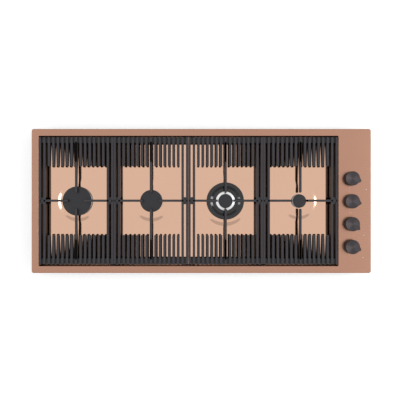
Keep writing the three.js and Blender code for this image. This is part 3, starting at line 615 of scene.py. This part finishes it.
def make_plate():
    """One sheet: lip, face with a sunk well, and a boss for each burner."""
    bm = bmesh.new()
    size = (plate_high.x - plate_low.x, plate_high.y - plate_low.y)
    edge = fillet(-PLATE_EDGE, PLATE_TOP - PLATE_EDGE, PLATE_EDGE, 0, 90)
    lip = (0, PLATE_TOP - LIP)
    outer = [grown_loop(bm, size, PLATE_CORNER, out, 0, z) for out, z in (lip, *edge)]
    bridge(bm, *outer)
    mouth = fillet(MOUTH_ROUND, PLATE_TOP - MOUTH_ROUND, MOUTH_ROUND, 90, 180)
    foot = fillet(-FLOOR_ROUND, FLOOR_TOP + FLOOR_ROUND, FLOOR_ROUND, 0, -90)
    size = (WELL_LENGTH, WELL_DEPTH)
    well = [grown_loop(bm, size, WELL_CORNER, out, WELL_X, z) for out, z in (*mouth, *foot)]
    bridge(bm, *well)
    face_edges = outer[-1] + well[0]
    for n in BURNERS:
        place = joint_place[f"knob_{n}_turn"]
        face_edges += circle_loop(bm, SPINDLE_HOLE, place.x, place.y, PLATE_TOP, HOLE_ROUND)
    fill(bm, face_edges)
    floor_edges = list(well[-1])
    for n in BURNERS:
        floor_edges += make_boss(bm, n)
    fill(bm, floor_edges)
    weld(bm)
    face_up(bm, 1)
    floor_line = PLATE_TOP - 2 * MOUTH_ROUND
    for face in bm.faces:
        face.material_index = 1 if max(v.co.z for v in face.verts) < floor_line else 0
    plate = finish_piece("plate", bm, [RIM_COPPER, FLOOR_COPPER], "hob", ["top_plate"])
    thicken(plate, SHEET, even=True)


def make_boss(bm, n):
    """The pressed round under a burner. Gives back the edges of its foot."""
    centre = burner_centre[n]
    top = boss_radius[n]
    foot = top + BOSS_SLOPE
    hole = crown_radius[n] - BOSS_HOLE
    slope = [
        (foot + BOSS_ROUND, FLOOR_TOP), (foot, FLOOR_TOP), (top, BOSS_TOP),
        (crown_radius[n] - BOSS_WHOLE, BOSS_TOP),
    ]
    profile = softened(slope, BOSS_SOFT, 8) + [(hole, BOSS_TOP), (hole, BOSS_TOP - SHEET)]
    spun(bm, profile, centre.x, 0)

    def on_foot(vert):
        return abs((vert.co.xy - centre.xy).length - profile[0][0]) < NEAR

    return [edge for edge in bm.edges if edge.is_boundary and all(map(on_foot, edge.verts))]


# ---------- burners ----------

CAP_RIB = 5.6 * MM  # a cap's rib stands this far within its crown's wall
CAP_RIB_HEIGHT = 2.5 * MM
CAP_SOFT = 1.1 * MM
RING_RIB = 6.6 * MM
RING_SEAT = 4.7 * MM  # from the ring's top down to its crown
RING_HEIGHT = 8.7 * MM
RING_RIM = 1.4 * MM
RING_DISH = ((54.0, 0.3), (45.4, 4.476), (35.5, 6.6))  # radius and depth under the top, in mm
INNER_CAP_RIB = 16.8 * MM
FINE_SOFT = 0.9 * MM


def make_cap(n):
    low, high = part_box(f"burner_cap_{n}")
    radius = cap_radius[n]
    rib = crown_radius[n] - CAP_RIB
    top = high.z
    under = low.z + CAP_RIB_HEIGHT
    outline = [
        (0, top), (radius * 0.6, top - 0.2 * MM), (radius - 1.5 * MM, top - 0.7 * MM),
        (radius, top - 2.2 * MM), (radius, under), (rib, under), (rib, low.z), (rib - 2 * MM, low.z),
        (rib - 2 * MM, under), (0, under),
    ]
    bm = bmesh.new()
    spun(bm, softened(outline, CAP_SOFT), burner_centre[n].x, 0)
    finish_piece(f"cap_{n}", bm, [CAP_ENAMEL], f"cap_{n}_body", [f"burner_cap_{n}"])


def make_ring_cap():
    """Ring whose dish falls from a broad rim as a cone, then runs out flatter at its hole."""
    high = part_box(f"burner_cap_{WOK}")[1]
    radius = cap_radius[WOK]
    top = high.z
    seat = top - RING_SEAT
    rib = crown_radius[WOK] - RING_RIB
    dish = [(out * MM, top - drop * MM) for out, drop in RING_DISH]
    hole = dish[-1][0]
    under = top - RING_HEIGHT
    outline = [
        (hole, under), (rib - 1 * MM, seat - 2.5 * MM), (rib, seat - 2 * MM), (rib, seat),
        (radius - 0.6 * MM, seat), (radius, seat + 0.6 * MM), (radius, top - RING_RIM),
        (radius - 0.4 * MM, top - 0.5 * MM), (radius - RING_RIM, top),
    ]
    dish = [outline[-1], *dish, outline[0]]
    bm = bmesh.new()
    spun(bm, outline + softened(dish, FINE_SOFT, 5)[1:], burner_centre[WOK].x, 0)
    finish_piece(
        "cap_wok_ring", bm, [RING_ENAMEL], f"cap_{WOK}_body", [f"burner_cap_{WOK}"],
        weighted=True,
    )


def make_inner_cap():
    low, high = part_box("wok_inner_cap")
    radius = radius_of("wok_inner_cap")
    under = low.z + CAP_RIB_HEIGHT
    outline = [
        (0, high.z), (radius * 0.7, high.z - 0.2 * MM), (radius - 1.4 * MM, high.z - 0.7 * MM),
        (radius, high.z - 1.8 * MM), (radius, under), (INNER_CAP_RIB, under), (INNER_CAP_RIB, low.z),
        (0, low.z),
    ]
    bm = bmesh.new()
    spun(bm, softened(outline, FINE_SOFT), burner_centre[WOK].x, 0)
    finish_piece(
        "cap_wok_centre", bm, [CAP_ENAMEL], "wok_inner_cap_body", ["wok_inner_cap"]
    )


PORTS = {1: 14, 2: 10, 3: 16, 4: 8}
PORT_WIDTH = 2.4 * MM
PORT_HEIGHT = 4.2 * MM
PORT_DEPTH = 3 * MM
CROWN_WALL = 5 * MM
THROAT = (8 * MM, 10 * MM)  # inside and outside radius
THROAT_DROP = 12 * MM
WOK_PORTS = 8
WOK_PORT_COLUMNS = 8  # one of these eight columns of faces is sunk for each port
SUNK = 16 * MM  # what of a plug or a flame sensor stays under its boss, with the sensor's nut


def make_crown(n):
    """Cast crown: a sloping foot, a wall with flame ports and the throat that goes down into the cup."""
    low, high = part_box(f"burner_crown_{n}")
    radius = crown_radius[n]
    foot = low.z + THROAT_DROP
    port_top = high.z - 0.7 * MM
    port_bottom = port_top - PORT_HEIGHT
    outline = [
        (THROAT[0], low.z), (THROAT[1], low.z), (THROAT[1], foot), (radius + CROWN_SKIRT - 0.4 * MM, foot),
        (radius + CROWN_SKIRT, foot + 0.4 * MM), (radius + CROWN_SKIRT - 0.6 * MM, foot + 1 * MM),
        (radius + 1.5 * MM, foot + 2.2 * MM), (radius + 0.3 * MM, foot + 3.2 * MM), (radius, foot + 4.2 * MM),
        (radius, port_bottom), (radius, port_top), (radius - 0.4 * MM, high.z), (radius - CROWN_WALL, high.z),
        (radius - CROWN_WALL, foot + CROWN_FLOOR), (THROAT[0], foot + CROWN_FLOOR), (THROAT[0], low.z),
    ]
    columns = round(2 * math.pi * radius / (PORTS[n] * PORT_WIDTH))
    bm = bmesh.new()
    ports = (PORTS[n], columns, port_bottom, port_top, PORT_DEPTH)
    spun(bm, outline, burner_centre[n].x, 0, PORTS[n] * columns, ports)
    finish_piece(f"crown_{n}", bm, [CROWN_METAL], "hob", [f"burner_crown_{n}"])


def make_wok_crown():
    """Bright turned ring with the small centre crown that stands on it."""
    low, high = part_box("wok_inner_crown")
    ring = radius_of("wok_inner_crown")
    inner = 17.5 * MM
    wall = 22.5 * MM
    shoulder = high.z - 3 * MM
    outline = [
        (inner, low.z), (ring, low.z), (ring, shoulder - 1.4 * MM), (ring - 0.4 * MM, shoulder - 0.5 * MM),
        (ring - 1.4 * MM, shoulder), (wall + 0.8 * MM, shoulder), (wall, shoulder + 0.4 * MM),
        (wall, high.z - 0.3 * MM), (wall - 0.3 * MM, high.z), (inner, high.z), (inner, low.z),
    ]
    bm = bmesh.new()
    ports = (WOK_PORTS, WOK_PORT_COLUMNS, shoulder + 0.4 * MM, high.z - 0.3 * MM, PORT_DEPTH)
    spun(bm, outline, burner_centre[WOK].x, 0, WOK_PORTS * WOK_PORT_COLUMNS, ports)
    finish_piece("wok_centre_crown", bm, [BRIGHT_METAL], "hob", ["wok_inner_crown"])


def make_plug(n):
    """Glazed ceramic plug with a shoulder and a wire electrode."""
    low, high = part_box(f"spark_plug_{n}")
    centre = middle(f"spark_plug_{n}")
    body = 3.3 * MM
    stem = 2.1 * MM
    wire = 0.65 * MM
    body_top = low.z + SUNK
    stem_top = high.z - 2 * MM
    outline = [
        (0, low.z), (body, low.z), (body, body_top - 0.6 * MM), (body - 0.6 * MM, body_top),
        (stem, body_top + 0.3 * MM), (stem, stem_top - 0.8 * MM), (stem - 0.8 * MM, stem_top),
        (wire, stem_top + 0.05 * MM), (wire, high.z - 0.3 * MM), (wire - 0.3 * MM, high.z), (0, high.z),
    ]
    bm = bmesh.new()
    spun(bm, outline, centre.x, centre.y, ROD_ROUND)
    for face in bm.faces:
        face.material_index = 1 if face.calc_center_median().z > stem_top else 0
    finish_piece(f"plug_{n}", bm, [CERAMIC, CROWN_METAL], "hob", [f"spark_plug_{n}"])


def make_flame_sensor(n):
    """Round-ended sensor rod with its hexagon nut under the plate."""
    low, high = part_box(f"thermocouple_{n}")
    centre = middle(f"thermocouple_{n}")
    rod = 1.6 * MM
    nut_top = low.z + SUNK
    outline = [(0, low.z), (rod, low.z), *fillet(0, high.z - rod, rod, 0, 90, 6)]
    bm = bmesh.new()
    spun(bm, outline, centre.x, centre.y, ROD_ROUND)
    hexagon(bm, 4.3 * MM, nut_top - 5 * MM, nut_top, centre.x, centre.y, 0.5 * MM)
    finish_piece(f"flame_sensor_{n}", bm, [BRASS], "hob", [f"thermocouple_{n}"])


# ---------- grates ----------

GRATE_HEIGHT = 24 * MM
BAR_PITCH = 16 * MM
BAR_WIDTH = 8 * MM
RAIL = 20 * MM
RAIL_DROP = 5 * MM
WINDOW = 243.4 * MM
TOOTH_TIP = 14 * MM
FINGER_WIDTH = 8 * MM
FINGER_TIP = 28.5 * MM
FINGER_HEIGHT = 10 * MM
FINGER_FLAT = 76 * MM
FINGER_WEB = 25 * MM
WEB_DROP = 3 * MM
NOTCH_AT = 134.7 * MM
NOTCH_WIDTH = 3 * MM
CAST_ROUND = 0.8 * MM
TIP_ROUND = 3.2 * MM
TOOTH_WIDTH = 8.5 * MM
SIDE_BARS = (-8, -7, 7, 8)  # places along X, in pitches from the grate's middle
TEETH = [step for step in range(-6, 7) if step]
HAIR = 0.2 * MM  # keeps two faces out of one plane
OVERLAP = 2 * MM  # how far one bar runs into the next
FOOT_RADIUS = 7 * MM
FOOT_ROOT = 8.2 * MM
FOOT_HEIGHT = 14 * MM
FOOT_SOFT = 1 * MM


def arm(bm, tip, end, width, root, tip_height, flat_from, turn, side=0.0):
    """A bar from a blunt tip to a square end, turned about the grate's middle. It is thin from the
    tip to flat_from, and grows deeper from there to its root."""
    part = bmesh.new()
    bmesh.ops.create_grid(part, x_segments=1, y_segments=1, size=0.5)
    bmesh.ops.scale(part, vec=(end - tip, width, 1), verts=part.verts)
    move(part, ((tip + end) / 2, 0, 0))
    round_off(part, [v for v in part.verts if v.co.x < tip + WELD], TIP_ROUND, 4, "VERTICES")
    pull(part, list(part.faces), (0, 0, -GRATE_HEIGHT))
    for x in (flat_from, root):
        geom = [*part.verts, *part.edges, *part.faces]
        bmesh.ops.bisect_plane(part, geom=geom, plane_co=(x, 0, 0), plane_no=(1, 0, 0), dist=1e-7)
    for vert in part.verts:
        if vert.co.z < -GRATE_HEIGHT / 2:
            share = min(max((vert.co.x - flat_from) / (root - flat_from), 0), 1)
            vert.co.z = -tip_height - (GRATE_HEIGHT - tip_height) * share
    bmesh.ops.recalc_face_normals(part, faces=part.faces)
    sharp = [e for e in part.edges if e.calc_face_angle(0) > SMOOTH_ANGLE]
    round_off(part, sharp, CAST_ROUND, clamp_overlap=True)
    move(part, (0, side, 0))
    turn_about_z(part, turn)
    put_in(bm, part)


def grate_casting():
    """One grate about its own middle, with its top at zero."""
    low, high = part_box("grate_1")
    half_x = (high.x - low.x) / 2
    half_y = (high.y - low.y) / 2
    foot = low.z - high.z
    rail_from = half_y - RAIL
    side_x = 7 * BAR_PITCH - BAR_WIDTH / 2
    rail_x = half_x - OVERLAP
    under = -GRATE_HEIGHT + HAIR
    bm = bmesh.new()
    for step in SIDE_BARS:
        x = step * BAR_PITCH
        low_end = (x - BAR_WIDTH / 2, -half_y, -GRATE_HEIGHT)
        block(bm, low_end, (x + BAR_WIDTH / 2, half_y, 0), CAST_ROUND)
    for side in (-1, 1):
        y = sorted((side * rail_from, side * (half_y - HAIR)))
        block(bm, (-rail_x, y[0], under), (rail_x, y[1], -RAIL_DROP), CAST_ROUND)
        x = sorted((side * side_x, side * rail_x))
        block(bm, (x[0], -FINGER_WEB / 2, under), (x[1], FINGER_WEB / 2, -WEB_DROP), CAST_ROUND)
    tooth = (half_y, TOOTH_WIDTH, half_y, TOOTH_TIP)
    stem = NOTCH_AT + NOTCH_WIDTH / 2
    finger = (rail_from + 2 * OVERLAP, FINGER_WIDTH, rail_from, FINGER_HEIGHT, FINGER_FLAT)
    for turn in (math.pi / 2, -math.pi / 2):
        for step in TEETH:
            arm(bm, WINDOW / 2, *tooth, WINDOW / 2 + BAR_WIDTH, turn, step * BAR_PITCH)
        arm(bm, stem, *tooth, stem + BAR_WIDTH, turn)
        arm(bm, FINGER_TIP, *finger, turn)
    for turn in (0, math.pi):
        arm(bm, FINGER_TIP, rail_x, FINGER_WIDTH, side_x, FINGER_HEIGHT, FINGER_FLAT, turn)
    outline = [(0, foot), (FOOT_RADIUS, foot), (FOOT_ROOT, foot + FOOT_HEIGHT), (0, foot + FOOT_HEIGHT)]
    foot_x = half_x - BAR_PITCH / 2 - BAR_WIDTH / 2
    foot_y = half_y - RAIL / 2
    for x in (-foot_x, foot_x):
        for y in (-foot_y, foot_y):
            spun(bm, softened(outline, FOOT_SOFT), x, y, ROD_ROUND)
    return bm


def make_grate(n, casting):
    low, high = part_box(f"grate_{n}")
    bm = casting.copy()
    move(bm, ((low.x + high.x) / 2, (low.y + high.y) / 2, high.z))
    finish_piece(
        f"grate_{n}_casting", bm, [CAST_IRON], f"grate_{n}_body", [f"grate_{n}"], weighted=True
    )


# ---------- knobs ----------

KNOB_RADIUS = 25 * MM
KNOB_EDGE = 0.9 * MM
NOSE_TIP = 31.4 * MM  # from the knob's middle
NOSE_ROUND = 3.9 * MM
NOSE_ROOT = 25  # degrees beside the nose at which the knob's round ends
NOSE_ARC = 62  # degrees that the nose's own round spans to each side
NOSE_TURN = {1: -18, 2: -15, 3: -37, 4: -20}
FACE_RIM = 0.8 * MM  # the spun face lies inside this rim
FACE_DROP = 0.35 * MM
FACE_DISH = 0.25 * MM


def make_knob(n):
    """Round knob with a nose and a dished face. The face's map runs round it and outward."""
    low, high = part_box(f"knob_{n}")
    centre = joint_place[f"knob_{n}_turn"]
    bm = bmesh.new()
    points = [
        *fillet(0, 0, KNOB_RADIUS, NOSE_ROOT, 360 - NOSE_ROOT, 72),
        *fillet(NOSE_TIP - NOSE_ROUND, 0, NOSE_ROUND, -NOSE_ARC, NOSE_ARC, 8),
    ]
    face = bm.faces.new([bm.verts.new((x, y, low.z)) for x, y in points])
    raised = pull(bm, [face], (0, 0, high.z - low.z))
    top_face = next(f for f in raised if isinstance(f, bmesh.types.BMFace))
    bmesh.ops.recalc_face_normals(bm, faces=bm.faces)
    round_off(bm, list(top_face.edges), KNOB_EDGE, 3)
    top_face = max(bm.faces, key=lambda f: (round(f.calc_center_median().z, 6), f.calc_area()))
    bmesh.ops.inset_region(bm, faces=[top_face], thickness=FACE_RIM, depth=-FACE_DROP)
    for face in bm.faces:
        flat = face.normal.z > 0.9 and face.calc_center_median().z > high.z - 2 * MM
        face.material_index = 1 if flat else 0
    poked = bmesh.ops.poke(bm, faces=[largest([f for f in bm.faces if f.material_index == 1])])
    for vert in poked["verts"]:
        vert.co = (0, 0, vert.co.z - FACE_DISH)
    uv = bm.loops.layers.uv.new("turning")
    for face in bm.faces:
        middle_point = face.calc_center_median()
        base = math.atan2(middle_point.y, middle_point.x)
        for loop in face.loops:
            x, y = loop.vert.co.xy
            angle = math.atan2(y, x) if abs(x) + abs(y) > WELD else base
            angle -= 2 * math.pi * round((angle - base) / (2 * math.pi))
            loop[uv].uv = (angle / (2 * math.pi), math.hypot(x, y) / KNOB_RADIUS)
    turn_about_z(bm, math.radians(NOSE_TURN[n]))
    move(bm, (centre.x, centre.y, 0))
    finish_piece(
        f"knob_{n}_body_metal", bm, [KNOB_SIDE, KNOB_FACE], f"knob_{n}_body", [f"knob_{n}"]
    )


# ---------- lower box and what is fixed to it ----------

BOX_SHEET = 1 * MM
BOX_CORNER = 6 * MM
BOX_BEND = 3 * MM
BEAD = (300 * MM, 26 * MM)
BEAD_ROUND = 12 * MM
BEAD_FROM_SIDE = 280 * MM
BEAD_FROM_MIDDLE = 90 * MM
BEAD_STEPS = ((0, 0), (0.8, 0.2), (2.0, 1.1), (3.4, 2.3), (4.4, 2.5))  # inward and upward, in mm
VENT = (44 * MM, 5 * MM, 2.2 * MM)  # length, width and corners
VENT_FROM_RIGHT = 102 * MM
VENTS_AT = range(-110, 41, 30)  # along Y, in mm
GAS_LEVEL = 28 * MM  # of the inlet and the gland, above the box's underside
GLAND_RIBS = 12
BOX_SCREWS = 7
SCREW_PITCH = 170 * MM
SIDE_SCREWS = (-150 * MM, 0, 150 * MM)
SCREW_DROP = 12 * MM  # from the box's upper edge


def facing(part, place, way):
    """Turns an upright part to look along a way, and sets it in its place."""
    turn = Vector((0, 0, 1)).rotation_difference(Vector(way)).to_matrix()
    bmesh.ops.rotate(part, cent=(0, 0, 0), matrix=turn, verts=part.verts)
    move(part, place)


def hex_screw(bm, place, way, radius=3.2 * MM):
    """A six-sided head on its washer."""
    part = bmesh.new()
    washer = [
        (0, 0.8 * MM), (radius * 1.35, 0.8 * MM), (radius * 1.45, 0.6 * MM), (radius * 1.45, -0.2 * MM)
    ]
    spun(part, washer, 0, 0, ROD_ROUND)
    hexagon(part, radius, 0.6 * MM, 2.3 * MM, 0, 0, 0.35 * MM)
    facing(part, place, way)
    put_in(bm, part)


def make_under_box():
    """Folded tray with pressed beads, a row of vent slots and screws round its walls."""
    low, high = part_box("under_box")
    length = high.x - low.x
    depth = high.y - low.y
    bm = bmesh.new()
    wall = [rounded_loop(bm, length, depth, BOX_CORNER, 0, high.z)]
    for out, z in fillet(-BOX_BEND, low.z + BOX_BEND, BOX_BEND, 0, -90):
        corner = BOX_CORNER + max(out, -2 * MM)
        wall.append(rounded_loop(bm, length + 2 * out, depth + 2 * out, corner, 0, z))
    bridge(bm, *wall)
    floor_edges = list(wall[-1])
    for x in (low.x + BEAD_FROM_SIDE, high.x - BEAD_FROM_SIDE):
        for y in (-BEAD_FROM_MIDDLE, BEAD_FROM_MIDDLE):
            rings = [
                grown_loop(bm, BEAD, BEAD_ROUND, -inset * MM, x, low.z + rise * MM, y)
                for inset, rise in BEAD_STEPS
            ]
            bridge(bm, *rings)
            fill(bm, rings[-1])
            floor_edges += rings[0]
    for y in VENTS_AT:
        floor_edges += rounded_loop(bm, *VENT, high.x - VENT_FROM_RIGHT, low.z, y * MM)
    fill(bm, floor_edges)
    weld(bm)
    face_up(bm, -1)
    box = finish_piece("lower_box", bm, [ZINC], "hob", ["under_box"])
    thicken(box, BOX_SHEET, even=False)
    screws = bmesh.new()
    for i in range(BOX_SCREWS):
        x = (i - (BOX_SCREWS - 1) / 2) * SCREW_PITCH
        for y, way in ((low.y, (0, -1, 0)), (high.y, (0, 1, 0))):
            hex_screw(screws, (x, y, high.z - SCREW_DROP), way)
    for x, way in ((low.x, (-1, 0, 0)), (high.x, (1, 0, 0))):
        for y in SIDE_SCREWS:
            hex_screw(screws, (x, y, high.z - SCREW_DROP), way)
    finish_piece("box_screws", screws, [BRIGHT_METAL], "hob")


def make_clamp(n):
    """Bent steel hook with its tightening screw."""
    low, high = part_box(f"worktop_clamp_{n}")
    sheet = 2 * MM
    side = 1 if low.y > 0 else -1
    wall = low.y if side > 0 else high.y
    reach = high.y - low.y
    outline = [
        (0, low.z), (sheet, low.z), (sheet, high.z - 5 * MM), (reach, high.z - 5 * MM), (reach, high.z),
        (reach - sheet, high.z), (reach - sheet, high.z - 3 * MM), (0, high.z - 3 * MM),
    ]
    part = bmesh.new()
    face = part.faces.new([part.verts.new((low.x, wall + side * out, z)) for out, z in outline])
    pull(part, [face], (high.x - low.x, 0, 0))
    round_off(part, part.edges, 0.45 * MM)
    bm = bmesh.new()
    put_in(bm, part)
    hex_screw(bm, ((low.x + high.x) / 2, wall + side * sheet, low.z + 9 * MM), (0, side, 0), 4 * MM)
    finish_piece(f"clamp_{n}", bm, [ZINC], "hob", [f"worktop_clamp_{n}"], weighted=True)


def make_gas_inlet():
    """Threaded stub with its hexagon nut inside the box."""
    low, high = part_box("gas_inlet")
    length = high.y - low.y
    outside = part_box("under_box")[1].y - low.y + 2 * MM
    crest = 10.4 * MM
    groove = crest - 0.9 * MM
    pitch = 1.8 * MM
    bore = 6 * MM
    bore_end = length - 22 * MM
    outline = [(0, 0), (crest, 0), (crest, outside)]
    for i in range(int((length - outside - 1 * MM) / pitch)):
        along = outside + i * pitch
        outline += [(groove, along + 0.45 * pitch), (groove, along + 0.55 * pitch), (crest, along + pitch)]
    outline += [
        (crest - 1 * MM, length), (bore + 0.6 * MM, length), (bore, length - 0.6 * MM), (bore, bore_end),
        (0, bore_end),
    ]
    part = bmesh.new()
    spun(part, outline, 0, 0, STUB_ROUND)
    hexagon(part, 13.8 * MM, 2 * MM, 14 * MM, 0, 0, 0.8 * MM)
    facing(part, ((low.x + high.x) / 2, low.y, GAS_LEVEL), (0, 1, 0))
    finish_piece("gas_inlet_stub", part, [BRASS], "hob", ["gas_inlet"])


def make_gland():
    """Moulded cable gland: hexagon flange, ribbed dome and an open bore."""
    low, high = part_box("cable_gland")
    length = high.y - low.y
    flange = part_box("under_box")[1].y - low.y + 0.3 * MM
    flange_top = flange + 4 * MM
    neck = 7.9 * MM
    dome = 4 * MM
    bore = 3.5 * MM
    bore_end = length - 10 * MM
    outline = [
        (0, 0), (neck, 0), (neck, length - 5 * MM), *fillet(neck - dome, length - dome, dome, 0, 80, 5),
        (bore + 0.4 * MM, length), (bore, length - 0.4 * MM), (bore, bore_end), (0, bore_end),
    ]
    part = bmesh.new()
    spun(part, outline, 0, 0, STUB_ROUND)
    hexagon(part, 10.9 * MM, flange, flange_top, 0, 0, 0.6 * MM)
    rib = [(0, length - 4.6 * MM), (0.7 * MM, length - 5 * MM), (0.7 * MM, flange_top)]
    rib_at = neck - 0.2 * MM
    for i in range(GLAND_RIBS):
        angle = 2 * math.pi * i / GLAND_RIBS
        spun(part, rib, rib_at * math.cos(angle), rib_at * math.sin(angle), 8)
    facing(part, ((low.x + high.x) / 2, low.y, GAS_LEVEL), (0, 1, 0))
    finish_piece("cable_gland_moulding", part, [PLASTIC], "hob", ["cable_gland"])


# ---------- the other nodes ----------

NODE_FINISH = {
    "copper_steel": RIM_COPPER,
    "cast_iron": CAST_IRON,
    "black_enamel": CAP_ENAMEL,
    "cast_aluminium": CROWN_METAL,
    "crown_aluminium": CROWN_METAL,
    "bright_aluminium": BRIGHT_METAL,
    "knob_metal": KNOB_SIDE,
    "zinc_steel": ZINC,
    "brass": BRASS,
    "tube_aluminium": TUBE,
    "ceramic": CERAMIC,
    "foam": FOAM,
    "black_plastic": PLASTIC,
}

# each kind of dot: its radius, and its place from the knob's middle in mm
PANEL_DOTS = (
    (1.5 * MM, {1: (54, -38.5), 3: (46, -40), 4: (43, -38.5)}),
    (0.9 * MM, {2: (2, -41), 3: (8.5, -43.5), 4: (3.5, -38)}),
)
DOT_TOP = 0.04 * MM
DOT_SUNK = 0.2 * MM
DOT_ROUND = 16


def dress_nodes():
    """Gives every solid of the frame the look of its material."""
    slots = {row["node"]: row["material_slot"] for row in frame["record"]["subparts"]}
    for name, piece in frame["nodes"].items():
        piece.data.materials.clear()
        piece.data.materials.append(NODE_FINISH[slots[name]])


def make_marks():
    """Small plain dots printed beside each knob."""
    bm = bmesh.new()
    for radius, spots in PANEL_DOTS:
        outline = [(0, PLATE_TOP + DOT_TOP), (radius, PLATE_TOP + DOT_TOP), (radius, PLATE_TOP - DOT_SUNK)]
        for n, (dx, dy) in spots.items():
            place = joint_place[f"knob_{n}_turn"]
            spun(bm, outline, place.x + dx * MM, place.y + dy * MM, DOT_ROUND)
    finish_piece("panel_dots", bm, [MARK], "hob")


bpy.context.scene.view_settings.view_transform = "Standard"
make_camera()
make_world()
make_floor()
make_lights()
dress_nodes()
make_plate()
one_grate = grate_casting()
for number in BURNERS:
    make_grate(number, one_grate)
    make_knob(number)
    make_crown(number)
    make_plug(number)
    make_flame_sensor(number)
    make_clamp(number)
    if number != WOK:
        make_cap(number)
make_ring_cap()
make_inner_cap()
make_wok_crown()
make_under_box()
make_gas_inlet()
make_gland()
make_marks()
